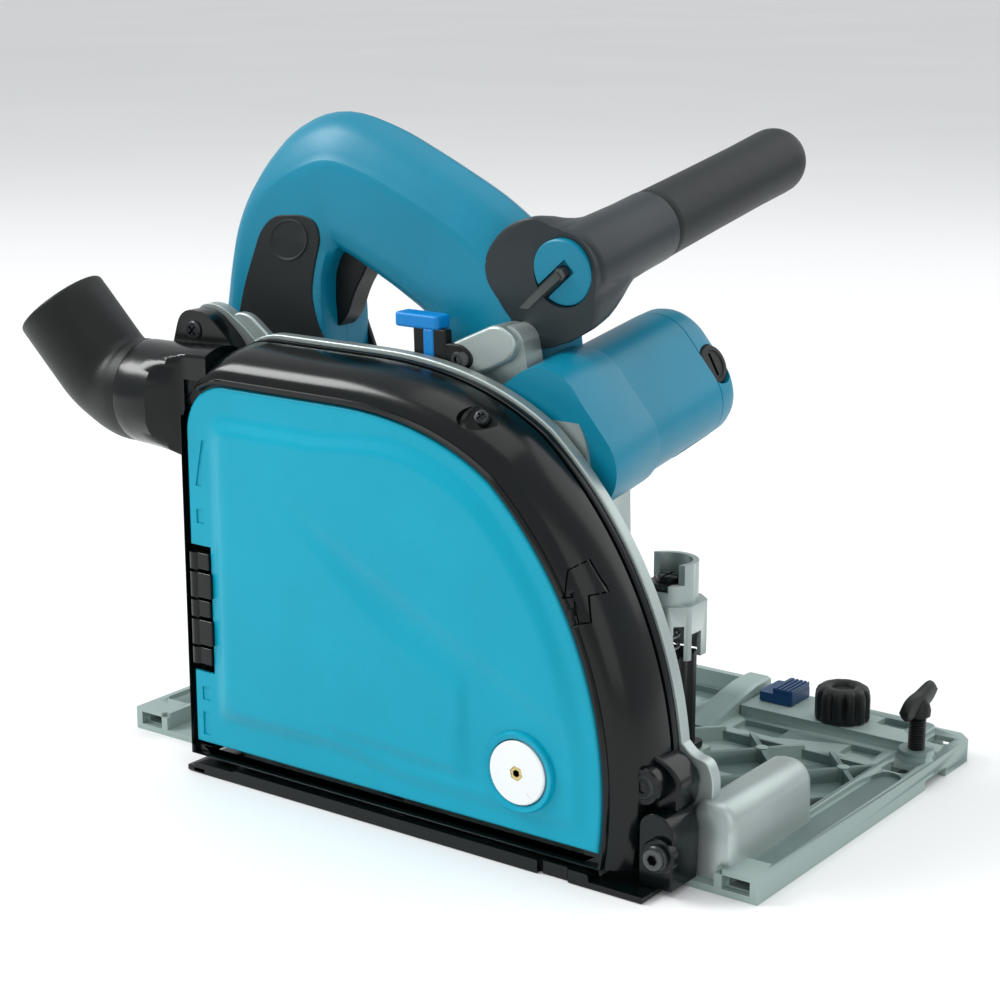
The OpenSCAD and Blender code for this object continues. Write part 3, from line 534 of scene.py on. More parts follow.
def screw(name, at, out, r, body):
    """Pan head with a cross recess."""
    at = Vector(at)
    out = Vector(out).normalized()
    head = turned([(r, -1.5), (r, 0.6), (r * 0.86, 1.1), (r * 0.45, 1.35)], at, out, 32)
    obj = place(name, *head, "black_steel", body)
    side = out.orthogonal().normalized()
    tools = []
    for turn in (0, 90):
        axis = Matrix.Rotation(math.radians(turn), 3, out) @ side
        other = out.cross(axis)
        base = at + out * 0.2
        pts = [tuple(base + out * h + axis * a * r * 0.62 + other * b * r * 0.14) for h in (0.0, 3.0)
               for a, b in ((-1, -1), (1, -1), (1, 1), (-1, 1))]
        tools.append((pts, BOX_FACES))
    boolean(obj, tools, "DIFFERENCE")
    tidy(obj, 30.0)
    return obj


def socket_head(name, at, out, r, h, body):
    """Cap screw: a plain drum with a hex socket."""
    at = Vector(at)
    out = Vector(out).normalized()
    verts, faces = turned([(r, 0), (r, h - 0.6), (r - 0.6, h)], at, out, 48)
    obj = place(name, verts, faces, "black_steel", body)
    boolean(obj, [turned([(r * 0.5, 0), (r * 0.5, h)], at + out * h * 0.45, out, 6)], "DIFFERENCE")
    tidy(obj, 30.0)
    return obj


def dust_port():
    """Round port that runs out of the cover's rear top corner."""
    rings = []
    for x, r in ((-143.9, 22.6), (-143.4, 23.3), (-142.5, 23.5), (-138, 23.6), (-131, 23.9), (-124, 24.3),
                 (-118, 24.9),
                 (-114.5, 25.4), (-111.8, 25.8), (-109.4, 26.2), (-104, 26.8), (-98, 27.2)):
        low_y = -40.0 + smoothstep(-129.0, -111.8, x) * 14.6
        high_y = 10.0 - smoothstep(-121.0, -115.0, x) * 6.1
        ring = []
        for k in range(96):
            a = 2 * math.pi * k / 96
            y = PORT[0] + min(r, 25.0) * math.cos(a)
            ring.append((x, min(max(y, low_y), high_y), PORT[1] - (r - 23.5) * 0.5 + r * math.sin(a)))
        rings.append(ring)
    inner = []
    for x, r in ((-98.0, 9.0), (-116.0, 10.5), (-143.9, 20.3)):
        inner.append([(x, PORT[0] + r * math.cos(2 * math.pi * k / 96),
                       PORT[1] + r * math.sin(2 * math.pi * k / 96))
                      for k in range(96)])
    verts, faces = rings_mesh(rings + inner + [rings[0]], False)
    obj = place("dust_port", verts, faces, "gloss_black", "base", (), 34.0)
    boolean(obj, [hinge_room()], "DIFFERENCE")
    tidy(obj, 34.0)
    ear = rounded([(-138, 186), (-131.5, 206.5), (-117, 207.5), (-103, 196), (-96, 186)], [3, 7, 7, 5, 2])
    soften(place("cover_ear", *prism_y(ear, -5.5, PLATE_Y - 0.1), "gloss_black", "base"), 1.2)
    screw("ear_screw", (EAR[0], -5.7, EAR[1]), (0, -1, 0), 4.2, "base")


def nozzle():
    """Smooth elbow: a collar on the port, the bend, a long straight mouth and a rounded lip."""
    turn = math.radians(52)
    bend = 30.0
    spine = [(Vector((0.0, 0.0, 0.0)), 0.0), (Vector((-4.0, 0.0, 0.0)), 0.0)]
    for k in range(1, 21):
        a = turn * k / 20
        spine.append((Vector((-4 - bend * math.sin(a), 0, bend * (1 - math.cos(a)))), a))
    end = spine[-1][0]
    way = Vector((-math.cos(turn), 0, math.sin(turn)))
    for d in (8, 16, 24, 30.6, 31.5, 31.9, 32.0):
        spine.append((end + way * d, turn))
    swivel = Matrix.Rotation(math.radians(10.6), 3, "X")
    origin = Vector((PORT_END, PORT[0], PORT[1]))

    def ring(p, a, r):
        up = Vector((math.sin(a), 0, math.cos(a)))
        across = Vector((0, 1, 0))
        return [tuple(origin + swivel @ (p + up * r * math.cos(t) + across * r * math.sin(t)))
                for t in (2 * math.pi * k / 72 for k in range(72))]

    outer = [22.9, 23.2] + [23.2 - 1.7 * smoothstep(0, 12, k) for k in range(1, 21)]
    outer += [21.5, 21.5, 21.5, 21.45, 21.2, 20.8, 20.4]
    rings = [ring(p, a, r) for (p, a), r in zip(spine, outer)]
    mouth = spine[-1]
    rings.append(ring(mouth[0], mouth[1], 19.8))
    rings.append(ring(mouth[0] - way * 0.8, mouth[1], 19.4))
    for p, a in spine[-5:1:-1]:
        rings.append(ring(p, a, 19.2))
    rings.append(ring(spine[0][0], 0.0, 19.0))
    rings.append(rings[0])
    verts, faces = rings_mesh(rings, False)
    place("dust_elbow", verts, faces, "soft_black", "nozzle", ["dust_nozzle"], 45.0)


def case_back():
    """Silver plate behind the cover, its front leg and foot."""
    outline = case_outline(FLARE + 1.6, CASE_FOOT)
    obj = place("plate_skin", *prism_y(outline, PLATE_Y + 0.05, 10.0), "cast_silver", "base",
                ["case_plate"])
    soften(obj, 0.8)
    boolean(obj, [turned([(20, 0), (20, 20)], (-1.5, -2, 57.5), (0, 1, 0), 64)], "DIFFERENCE")
    tidy(obj)
    lug = rounded([(-134, 190), (-129, 208.5), (-116, 209), (-100, 199), (-90, 190)], [3, 7, 7, 5, 2])
    soften(place("plate_lug", *prism_y(lug, PLATE_Y, 10.0), "cast_silver", "base"), 1.0)
    rear_lug = rounded([(-116, 194), (-110, 206), (-101, 206), (-86, 195), (-86, 188)], [3, 5, 5, 5, 2])
    soften(place("plate_rear_lug", *prism_y(rear_lug, PLATE_Y + 2.0, 10.5), "cast_silver", "base"), 1.0)
    leg = rounded([(100, 74), (114.5, 80), (123.5, 61), (133.5, 51.5), (140.5, 50.5), (143.5, 44),
                   (143.5, 36), (140, 3.1),
                   (100, 9)], [2, 3, 8, 5, 3, 4, 2, 1, 1])
    soften(place("plate_leg", *prism_y(leg, PLATE_Y, 10.2), "cast_silver", "base"), 1.2)


def pivot_block():
    """Pivot housing: a block with a rounded back and softened ends."""
    rings = []
    for y, s in ((0.0, 3.4), (0.7, 1.8), (2.2, 0.6), (4.8, 0.0), (61.5, 0.0), (64.6, 0.8), (66.2, 2.4),
                 (66.8, 4.2)):
        x0, x1, top = 135.6 + s * 0.7, 155.3 - s * 0.7, 35.6 - s
        pts = [(x1 + 0.6, 3.0), (x1, 24.0)]
        for k in range(1, 13):
            a = math.pi / 2 * k / 12
            pts.append((x1 - 8.5 + 8.5 * math.cos(a), top - 9.5 + 9.5 * math.sin(a)))
        for k in range(13):
            a = math.pi / 2 + math.pi / 2 * k / 12
            pts.append((x0 + 6.5 + 6.5 * math.cos(a), top - 7.5 + 7.5 * math.sin(a)))
        pts += [(x0, 20.0), (x0 - 0.4, 3.0)]
        rings.append([(x, y, z) for x, z in pts])
    verts, faces = rings_mesh(rings)
    place("pivot_block", verts, faces, "cast_silver", "base", ["pivot_bracket"], 35.0)


# ---------------------------------------------------------------- base
def base_casting():
    """The ribbed base as one casting."""
    plate = rounded([(-BASE_HALF, BASE_NEAR), (104, BASE_NEAR), (104, 3), (137, 3), (137, BASE_NEAR),
                     (BASE_HALF, BASE_NEAR), (BASE_HALF, BASE_FAR), (-BASE_HALF, BASE_FAR)],
                    [1, 0, 0, 0, 0, 1, 9, 9])
    obj = place("base_casting", *prism_z(plate, 0.05, 3.0), "cast_grey", "base",
                ["base_plate", "rail_channel", "front_beam", "rear_beam"])
    adds = []
    for s in (1, -1):
        beam = [(s * 150, BASE_NEAR), (s * 170, BASE_NEAR), (s * 170, BASE_FAR - 6), (s * 164, BASE_FAR),
                (s * 150, BASE_FAR)]
        adds.append(prism_z(beam, 0.05, 10.8))
    adds.append(box((-151, 139, 0.05), (151, BASE_FAR - 0.4, 7.6)))
    adds.append(prism_z(rounded([(64, 163), (153, 163), (153, 190), (149, BASE_FAR - 0.2),
                                 (64, BASE_FAR - 0.2)],
                                       [1, 3, 3, 3, 1]), 0.05, 12.4))
    adds.append(box((-162, BASE_FAR - 4.0, 0.05), (52, BASE_FAR - 0.2, 15.6)))
    adds.append(box((-151, 40, 0.05), (118, 43, 9.4)))
    boolean(obj, adds, "UNION")
    # crossing ribs that meet in round nodes
    ribs = []
    slope = math.radians(47.5)
    low_y, high_y = 43.0, 141.0
    for k in range(-8, 6):
        for s in (-1, 1):
            c = Vector((97.0 + 41.5 * k, 126.0))
            d = Vector((s * math.cos(slope), math.sin(slope)))
            n = Vector((-d.y, d.x)) * 1.15
            lo, hi = (low_y - c.y) / d.y, (high_y - c.y) / d.y
            ends = sorted(((-150.5 - c.x) / d.x, (151.5 - c.x) / d.x))
            lo, hi = max(lo, ends[0]), min(hi, ends[1])
            if hi - lo < 8:
                continue
            p, q = c + d * lo, c + d * hi
            ribs.append(prism_z([tuple(p - n), tuple(q - n), tuple(q + n), tuple(p + n)], 0.1, 9.4))
    for k in range(-6, 2):
        for dx, y in ((0.0, 126.0), (-20.7, 103.4), (0.0, 80.8), (-20.7, 58.2)):
            at = (97.0 + 41.5 * k + dx, y)
            if abs(at[0]) < 146:
                ribs.append(prism_z(circle(at, 2.9, 20), 0.1, 9.8))
    boolean(obj, ribs, "UNION")
    pads = [rings_mesh([[(50.0, y, 0.1), (63.5, y, 0.1), (63.5, y, z), (61.5, y, z + 1.0), (52, y, z + 1.0),
                                (50.0, y, z)] for y,
                        z in ((136, 7.6), (148, 10.5), (165, 14.5), (180, 16.8), (193.6, 16.9))]),
            box((TOWER[0] - 15, TOWER[1] - 15, 0.1), (TOWER[0] + 15, TOWER[1] + 15, 9.0))]
    for s in (1, -1):
        pads.append(turned([(11.0, 0.1), (9.4, 10.5), (8.2, 12.5), (7.9, 14.6)], (s * 160, RAIL_Y, 0),
                           (0, 0, 1), 48))
    boolean(obj, pads, "UNION")
    cuts = []
    for s in (1, -1):
        x = s * 160.0
        cuts.append(box((x - 5, BASE_NEAR - 2, 3.6), (x + 5, BASE_FAR + 2, 8.4)))
        cuts.append(box((x - 6.4, BASE_NEAR - 2, 2.9), (x + 6.4, BASE_NEAR + 3.5, 8.9)))
        trough = rounded([(x - 7.2, 12), (x + 7.2, 12), (x + 7.2, 128), (x - 2 * s, 131), (x - 7.2, 116)],
                         [3, 3, 6, 8, 18])
        cuts.append(prism_z(trough, 8.9, 14.0))
        cuts.append(prism_z(rounded(rect(x - 6, 131, x + 6, 142), 2.5), -1, 16))
        cuts.append(prism_z(rounded(rect(x - 5, 174, x + 5, 185), 2.5), -1, 16))
        cuts.append(prism_z([(s * 149, -9), (s * 155.5, -9), (s * 152.5, BASE_NEAR + 2.2),
                             (s * 149, BASE_NEAR + 2.2)],
                                   9.0, 14))
    cuts.append(box((-172, RAIL_Y - 10.5, -1), (172, RAIL_Y + 10.5, 4.4)))
    for x in (-92, -52, -12, 26):
        cuts.append(prism_z(rounded(rect(x - 15, 168, x + 15, 187), 5), 4.8, 9))
    for x, w in ((82, 12), (134, 8)):
        cuts.append(prism_z(rounded(rect(x - w, 145, x + w, 158), 2), 5.0, 12))
    cuts.append(prism_z(rounded(rect(128, 178, 143, 188), 3), 9.5, 16))
    boolean(obj, cuts, "DIFFERENCE")
    tidy(obj, 30.0)
    run_modifier(obj, "BEVEL", width=0.5 * MM, segments=1, limit_method="ANGLE",
                 angle_limit=math.radians(40))
    tidy(obj, 14.0)


def shoe():
    outline = rounded([(-108, 0.3), (-108, 5.0), (-84, 5.2), (-83, 6.0), (107, 6.0), (107.5, 3.0),
                       (133, 3.0), (133, 0.3)],
                      [0.5, 2, 0.5, 0.5, 1, 0.5, 0.5, 0.5], 3)
    obj = place("shoe_strip", *prism_y(outline, -31.0, -23.0), "gloss_black", "base", ["side_shoe"])
    cuts = [box((82.5, -32, -1), (84.5, -28.5, 8)), box((96.5, -32, -1), (97.6, -27.5, 8)),
            box((84.4, -32, -1), (96.6, -29.6, 8))]
    boolean(obj, cuts, "DIFFERENCE")
    soften(obj, 0.6, 2)
    soften(place("shoe_foot", *box((107.0, -23.2, 0.3), (133, 2, 2.6)), "gloss_black", "base"), 0.6, 2)
    soften(place("shoe_tail", *box((-112, -31, 0.3), (-101, -5, 3.0)), "gloss_black", "base"), 0.6, 2)


def front_bracket():
    """Black bracket at the front foot with its cap screw, and the round boss over it."""
    outline = rounded([(124, 2.6), (124, 30.5), (129, 34.5), (137.0, 33), (140.2, 26), (139.6, 2.6)],
                      [1, 3, 5, 6, 4, 1])
    soften(place("bracket_skin", *prism_y(outline, -20.0, -0.6), "gloss_black", "base", ["shoe_bracket"]),
           1.2)
    collar = turned([(7.4, 0.0), (7.4, 3.4), (6.8, 4.2)], (134.4, -18.6, 17.6), (0, -1, 0), 48)
    place("bracket_collar", *collar, "gloss_black", "base")
    socket_head("bracket_cap_screw", (134.4, -21.2, 17.6), (0, -1, 0), 5.1, 3.4, "base")
    boss = turned([(8.0, 0.0), (8.0, 17.0), (7.2, 18.0)], (124.5, -0.6, 43.5), (0, -1, 0), 56)
    place("front_boss", *boss, "gloss_black", "base")
    socket_head("front_boss_screw", (124.5, -16.5, 43.5), (0, -1, 0), 5.2, 2.8, "base")
    web = rounded([(103, 40), (110, 54), (120, 57), (133, 51), (138, 45), (136, 32), (124, 28)],
                  [3, 4, 4, 4, 3, 3, 3])
    soften(place("front_web", *prism_y(web, -11.5, PLATE_Y), "gloss_black", "base"), 1.5)


# ---------------------------------------------------------------- tower and controls
def tower():
    """Stepped depth tower: a faceted skirt, a shoulder and a notched crown."""
    cx, cy = TOWER
    skirt = rounded([(cx - 15.5, cy - 8), (cx - 8, cy - 14), (cx + 8, cy - 14), (cx + 16, cy - 7),
                     (cx + 16, cy + 8),
                     (cx + 9, cy + 14), (cx - 9, cy + 14), (cx - 15.5, cy + 8)], 1.2, 3)
    obj = place("tower_skin", *prism_z(skirt, 56.0, 81.0), "cast_silver", "head", ["depth_tower"])
    crown = turned([(13.6, 80.5), (13.6, 99.0)], (cx, cy, 0), (0, 0, 1), 64)
    boolean(obj, [crown, box((cx - 15.3, cy - 6, 51.2), (cx - 5, cy + 13.5, 60))], "UNION")
    cuts = [turned([(10.8, 81.2), (10.8, 110)], (cx, cy, 0), (0, 0, 1), 48),
            box((cx - 18, cy - 20, 86.5), (cx + 7.0, cy + 6.5, 110)),
            box((cx + 6.8, cy - 20, 90.0), (cx + 20, cy - 6, 110)),
            box((cx - 13.4, cy - 11.9, 50), (cx + 14, cy + 11.9, 72)),
            box((cx + 9.5, cy - 5.5, 55), (cx + 20, cy + 2.5, 68))]
    boolean(obj, cuts + [turned([(3.1, 60), (3.1, 90)], (cx, cy, 0), (0, 0, 1), 32)], "DIFFERENCE")
    tidy(obj)
    soften(obj, 0.7, 3, 35.0)


def pillar():
    """Black spring pillar with upright flutes."""
    cx, cy = TOWER
    ring = []
    for k in range(48):
        a = 2 * math.pi * k / 48
        dent = 0.8 if k % 4 < 2 else 0.0
        x = 11.4 * max(-1, min(1, 1.25 * math.cos(a)))
        y = 10.6 * max(-1, min(1, 1.25 * math.sin(a)))
        s = 1 - dent / 12
        ring.append((cx + x * s, cy + y * s))
    soften(place("pillar_skin", *prism_z(ring, 9.0, 56.0), "soft_black", "base", ["spring_pillar"]), 0.3, 2)
    pad = rounded(rect(cx - 13, cy - 13, cx + 13, cy + 13), 3)
    soften(place("pillar_foot", *prism_z(pad, 8.9, 13.0), "soft_black", "base"), 1.0)


def stop_screw():
    cx, cy = TOWER
    head = turned([(3.0, 73), (3.0, 85.8), (8.9, 86.0), (9.3, 86.6), (9.3, 88.2), (8.6, 88.9),
                   (5.6, 89.2), (5.4, 91.4),
                   (4.6, 92.0)], (cx, cy, 0), (0, 0, 1), 56)
    obj = place("stop_screw", *head, "black_steel", "stop_screw", ["depth_screw"])
    slot = box((cx - 6, cy - 0.8, 90.2), (cx + 6, cy + 0.8, 94))
    boolean(obj, [slot, box((cx - 0.8, cy - 6, 90.2), (cx + 0.8, cy + 6, 94))], "DIFFERENCE")
    tidy(obj)


def fluted_knob():
    """Track knob: soft flutes round a domed drum, with a sunk centre."""
    cx, cy = KNOB
    n = 144
    rings = []
    profile = [(10.5, 12.8, 0.0), (12.6, 12.9, 0.3), (13.0, 13.8, 0.6), (13.0, 17.0, 1.0),
               (13.0, 23.0, 1.0),
               (12.7, 25.6, 0.9), (11.8, 27.4, 0.6), (10.2, 28.4, 0.2), (8.0, 28.7, 0.0), (6.2, 28.5, 0.0),
               (5.4, 27.7, 0.0), (5.0, 26.7, 0.0), (0.4, 26.4, 0.0)]
    for r, z, flute in profile:
        ring = []
        for k in range(n):
            a = 2 * math.pi * k / n
            wave = (0.5 + 0.5 * math.cos(12 * a)) ** 3
            q = r - 1.7 * flute * wave
            ring.append((cx + q * math.cos(a), cy + q * math.sin(a), z))
        rings.append(ring)
    place("track_knob_skin", *rings_mesh(rings), "soft_black", "track_knob", ["rail_knob"], 40.0)


def wing_screw(side, body, node):
    """Thumb screw: threaded shank, round hub and a bow-tie wing."""
    x = side * 160.0
    profile = [(3.9, 8.6)]
    z = 12.0
    while z < 28.5:
        profile += [(3.9, z), (3.3, z + 0.5), (3.9, z + 1.0)]
        z += 1.25
    profile += [(4.2, 29.4), (5.6, 30.4), (5.8, 33.0), (5.0, 36.0), (3.6, 38.0)]
    place(node + "_shank", *turned(profile, (x, RAIL_Y, 0), (0, 0, 1), 40), "soft_black", body)
    rings = []
    for t in range(0, 29):
        u = -1 + 2 * t / 28
        half = 7.4 * math.sqrt(max(0.02, 1 - abs(u) ** 3.4)) * (0.66 + 0.34 * abs(u) ** 1.3)
        thick = 2.3 + 0.9 * (1 - abs(u))
        ring = []
        for k in range(28):
            a = 2 * math.pi * k / 28
            ring.append((x + thick * math.cos(a), RAIL_Y + 14.6 * u, 37.0 + 2.0 * u + half * math.sin(a)))
        rings.append(ring)
    place(node + "_wing", *rings_mesh(rings), "soft_black", body, [node], 50.0)


def track_lever():
    outline = rounded(rect(68.2, 173.2, 85.8, 192.6), 1.6)
    obj = place("track_lever_skin", *prism_z(outline, 12.9, 17.4), "lever_blue", "track_lever",
                ["rail_lever"])
    ridge = rounded(rect(75.2, 173.6, 85.6, 192.2), 1.2)
    boolean(obj, [prism_z(ridge, 17.0, 20.2)], "UNION")
    grip = [box((77.2 + 2.2 * k, 172, 19.6), (78.2 + 2.2 * k, 194, 21)) for k in range(4)]
    boolean(obj, grip, "DIFFERENCE")
    tidy(obj)
    soften(obj, 0.6, 3)


# ---------------------------------------------------------------- motor, handle and grip
def on_axis(origin, tilt):
    """Frame whose third axis runs along Y, tipped up by tilt."""
    along = Vector((0, math.cos(tilt), math.sin(tilt)))
    side = Vector((1, 0, 0))
    up = side.cross(along)
    return lambda x, z, h: tuple(origin + side * x + up * z + along * h)


MOTOR_FACE = math.radians(36)


def motor_ring(h, w, corner, at, n=15):
    """Rounded square across the motor axis: half-width w, corner radius."""
    pts = []
    for q in range(4):
        mid = MOTOR_FACE + math.pi / 4 + q * math.pi / 2
        c = (w - corner) * math.sqrt(2)
        for k in range(n):
            a = mid - math.pi / 4 + math.pi / 2 * k / (n - 1)
            x = c * math.cos(mid) + corner * math.cos(a)
            z = c * math.sin(mid) + corner * math.sin(a)
            pts.append(at(x, z, h))
    return pts


def motor():
    at = on_axis(MOTOR_O, MOTOR_TILT)
    barrel = [(-30, 32.2, 21), (2.5, 32.2, 21), (3.6, 31.8, 21), (4.2, 30.8, 20.5), (8, 30.6, 20.5),
              (57.6, 30.3, 20),
              (57.8, 29.9, 20), (58.0, 29.6, 20)]
    rings = [motor_ring(h, w, c, at) for h, w, c in barrel]
    obj = place("motor_shell", *rings_mesh(rings), "blue_shell", "head", ["motor_housing"], 40.0)
    cuts = [box((-40, -40, 100), (140, 10.6, 260))]
    # lower band set back, with a stepped edge
    low = math.radians(-62)
    for h0, h1, depth in ((10, 34, 1.6), (34, 57.0, 2.4)):
        out = Vector(at(math.cos(low), math.sin(low), 0)) - Vector(at(0, 0, 0))
        side = MOTOR_WAY.cross(out)
        c = Vector(at(0, 0, 0))
        pts = [tuple(c + MOTOR_WAY * h + out * r + side * q) for h in (h0, h1)
               for r, q in ((30.6 - depth, -19), (40, -19), (40, 19), (30.6 - depth, 19))]
        cuts.append((pts, BOX_FACES))
    boolean(obj, cuts, "DIFFERENCE")
    tidy(obj, 34.0)
    stator = tube([(22.6, 16), (28.0, 16), (28.0, 50), (22.6, 50)], MOTOR_O, MOTOR_WAY, 64)
    place("stator_ring", *stator, "steel", "head", ["field_stator"])
    cap = [(58.02, 29.6, 20), (58.3, 30.2, 20), (66, 30.0, 20), (69.5, 29.2, 20), (73.5, 26.8, 18.5),
           (76.0, 23.8, 17),
           (77.2, 20.3, 15), (77.4, 16, 13)]
    rings = [motor_ring(h, w, c, at) for h, w, c in cap]
    obj = place("motor_cap", *rings_mesh(rings), "blue_shell", "head", ["motor_end_cap"], 40.0)
    tools = []
    brush = math.radians(24)
    for s in (0, math.pi):
        a = brush + s
        out = Vector(at(math.cos(a), math.sin(a), 0)) - Vector(at(0, 0, 0))
        tools.append(turned([(9.4, 27.0), (9.4, 40)], Vector(at(0, 0, 64)), out, 56))
    boolean(obj, tools, "DIFFERENCE")
    tidy(obj, 40.0)
    for k, s in enumerate((0, math.pi)):
        a = brush + s
        out = Vector(at(math.cos(a), math.sin(a), 0)) - Vector(at(0, 0, 0))
        c = Vector(at(0, 0, 64))
        v, f = turned([(5.0, 26.0), (5.0, 27.2), (8.9, 27.2), (8.9, 29.0), (8.3, 29.8), (6.4, 29.9),
                       (6.1, 29.4),
                       (0.4, 29.4)], c, out, 56)
        cap_obj = place("brush_cap_%d" % k, v, f, "soft_black", "head", ["brush_caps"] if k == 0 else [])
        across = out.cross(MOTOR_WAY)
        base = c + out * 28.2
        pts = [tuple(base + out * h + across * p * 5.2 + MOTOR_WAY * q * 0.9) for h in (0, 4)
               for p, q in ((-1, -1), (1, -1), (1, 1), (-1, 1))]
        tool = (pts, BOX_FACES)
        boolean(cap_obj, [tool], "DIFFERENCE")
        tidy(cap_obj)


HANDLE = [(-114, 140, 20), (-113, 165, 29), (-110.5, 186, 32.5), (-109, 201, 31), (-108, 215, 29.3),
          (-105, 231, 28.2),
          (-98, 247, 29), (-87, 258.5, 30.2), (-74, 262.7, 30.5), (-57, 258.7, 30.7), (-41, 252, 31),
          (-23, 243.5, 31.4),
          (-5, 233.5, 32.5), (6, 222, 36), (10, 208, 38), (12, 196, 38), (18, 174, 36)]


def catmull(points, per):
    out = []
    for i in range(len(points) - 1):
        p0 = points[max(i - 1, 0)]
        p1, p2 = points[i], points[i + 1]
        p3 = points[min(i + 2, len(points) - 1)]
        for k in range(per):
            t = k / per
            out.append(tuple(0.5 * (2 * b + (c - a) * t + (2 * a - 5 * b + 4 * c - d) * t * t
                                    + (3 * b - a - 3 * c + d) * t ** 3) for a, b, c,
                             d in zip(p0, p1, p2, p3)))
    out.append(tuple(points[-1]))
    return out


def handle_section(u):
    """Half of the handle's section as (outward, sideways) fractions: a square post that turns into an arch
    with a flat cheek, a crisp line and a sloped back."""
    c = 0.28 + 0.16 * smoothstep(0.15, 0.9, u)
    arch = [(-1.0, 0.0), (-0.985, 0.34), (-0.92, 0.66), (-0.78, 0.87), (-0.55, 0.965), (-0.2, 0.99),
            (c - 0.16, 1.0),
            (c - 0.015, 1.0), (c, 0.985), (c + 0.10, 0.90), (0.70, 0.74), (0.86, 0.50), (0.96, 0.24),
            (1.0, 0.0)]
    post = [(-1.0, 0.0), (-1.0, 0.5), (-1.0, 0.84), (-0.985, 0.94), (-0.94, 0.985), (-0.6, 1.0),
            (0.2, 1.0), (0.62, 1.0),
            (0.74, 0.985), (0.84, 0.93), (0.92, 0.80), (0.97, 0.55), (1.0, 0.25), (1.0, 0.0)]
    b = 1 - smoothstep(0.30, 0.47, u)
    return [(p[0] * b + q[0] * (1 - b), p[1] * b + q[1] * (1 - b)) for p, q in zip(post, arch)]


def handle_rings():
    line = catmull(HANDLE, 5)
    rings = []
    n = len(line)
    for i, (x, z, r) in enumerate(line):
        a = line[max(i - 1, 0)]
        b = line[min(i + 1, n - 1)]
        tangent = Vector((b[0] - a[0], b[1] - a[1])).normalized()
        out = Vector((-tangent.y, tangent.x))
        half = handle_section(i / (n - 1))
        ring = []
        for s, part in ((-1, half), (1, half[-2:0:-1])):
            for u, v in part:
                ring.append((x + out.x * u * r, HANDLE_Y + s * v * SHELL_T,
                             min(z + out.y * u * r, HANDLE_TOP)))
        rings.append(ring)
    return rings


def halves(name, verts, faces, slot, replaces):
    """Splits a closed skin at the handle's parting plane into a left and a right shell."""
    for side, node in ((-1, replaces[0]), (1, replaces[1])):
        obj = place(name + ("_left" if side < 0 else "_right"), verts, faces, slot, "head", [node], 40.0)
        bm = bmesh.new()
        bm.from_mesh(obj.data)
        cut = bmesh.ops.bisect_plane(bm, geom=bm.verts[:] + bm.edges[:] + bm.faces[:],
                                     plane_co=(0, (HANDLE_Y + side * PARTING) * MM, 0),
                                     plane_no=(0, side, 0),
                                     clear_inner=True)
        edges = [e for e in cut["geom_cut"] if isinstance(e, bmesh.types.BMEdge)]
        bmesh.ops.triangle_fill(bm, use_beauty=True, edges=edges)
        bmesh.ops.recalc_face_normals(bm, faces=bm.faces)
        bm.to_mesh(obj.data)
        bm.free()
        tidy(obj, 34.0)


def handle():
    verts, faces = rings_mesh(handle_rings())
    halves("handle_shell", verts, faces, "blue_shell", ("handle_left_shell", "handle_right_shell"))
    # lower bridge from the post to the motor, behind the case
    outline = rounded([(-138, 138), (-138, 168), (20, 176), (30, 142)], [8, 8, 4, 4])
    obj = place("handle_bridge", *prism_y(outline, HANDLE_Y - SHELL_T + 2, HANDLE_Y + SHELL_T - 2),
                "blue_shell", "head")
    soften(obj, 4.0, 4)


def shell_screws():
    """Screws that close the handle, sunk in the far cheek."""
    for k, (x, z) in enumerate(((-62, 268), (-20, 248), (-100, 180), (-40, 156))):
        obj = screw("shell_screw_%d" % k, (x, HANDLE_Y + SHELL_T - 0.6, z), (0, 1, 0), 3.4, "head")
        if k == 0:
            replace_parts(obj, "housing_screws")


def patch_on_handle(name, outline, slot, lift, replaces):
    """A raised inlay on each cheek of the handle."""
    for side in (-1, 1):
        y0 = HANDLE_Y + side * (SHELL_T - 2.0)
        y1 = HANDLE_Y + side * (SHELL_T + lift)
        verts, faces = prism_y(outline, min(y0, y1), max(y0, y1))
        obj = place(name + ("_left" if side < 0 else "_right"), verts, faces, slot, "head",
                    replaces if side < 0 else ())
        soften(obj, 0.7, 3)


def rubber():
    inlay = rounded([(-134, 150), (-129, 195), (-124, 214), (-113, 240), (-105, 247.0), (-88, 248.5),
                     (-80, 246.0),
                     (-78.0, 238), (-81.8, 225), (-83.8, 213), (-81, 202), (-76, 190), (-70, 176),
                     (-70, 150)],
                    [2, 16, 16, 8, 8, 10, 7, 8, 14, 10, 10, 10, 8, 1], 8)
    patch_on_handle("cheek_rubber", inlay, "grip_rubber", 0.5, ["handle_rubber"])


def button():
    c = Vector((-96.0, HANDLE_Y - SHELL_T - 0.9, 236.5))
    v, f = turned([(9.0, 3.0), (9.0, 0.2), (8.7, -0.1), (8.1, 0.1), (7.8, 0.3), (0.5, 0.1)], c, (0, 1, 0),
                  64)
    lean = Vector((0.93, 0, 0.36)).normalized()
    v = [tuple(Vector(p) + lean * (Vector(p) - c).dot(lean) * 0.3) for p in v]
    place("lock_button_skin", v, f, "grip_rubber", "lock_button", ["lock_off_button"], 30.0)


def trigger():
    outline = rounded([(-90, 198), (-90, 240), (-81.7, 237), (-59.5, 230.5), (-62, 224), (-68, 215),
                       (-72.5, 203), (-80, 196)],
                      [2, 2, 4, 4, 5, 12, 10, 4], 8)
    obj = place("trigger_skin", *prism_y(outline, HANDLE_Y - 6.0, HANDLE_Y + 6.0), "soft_black",
                "trigger", ["trigger"])
    soften(obj, 2.2, 4)


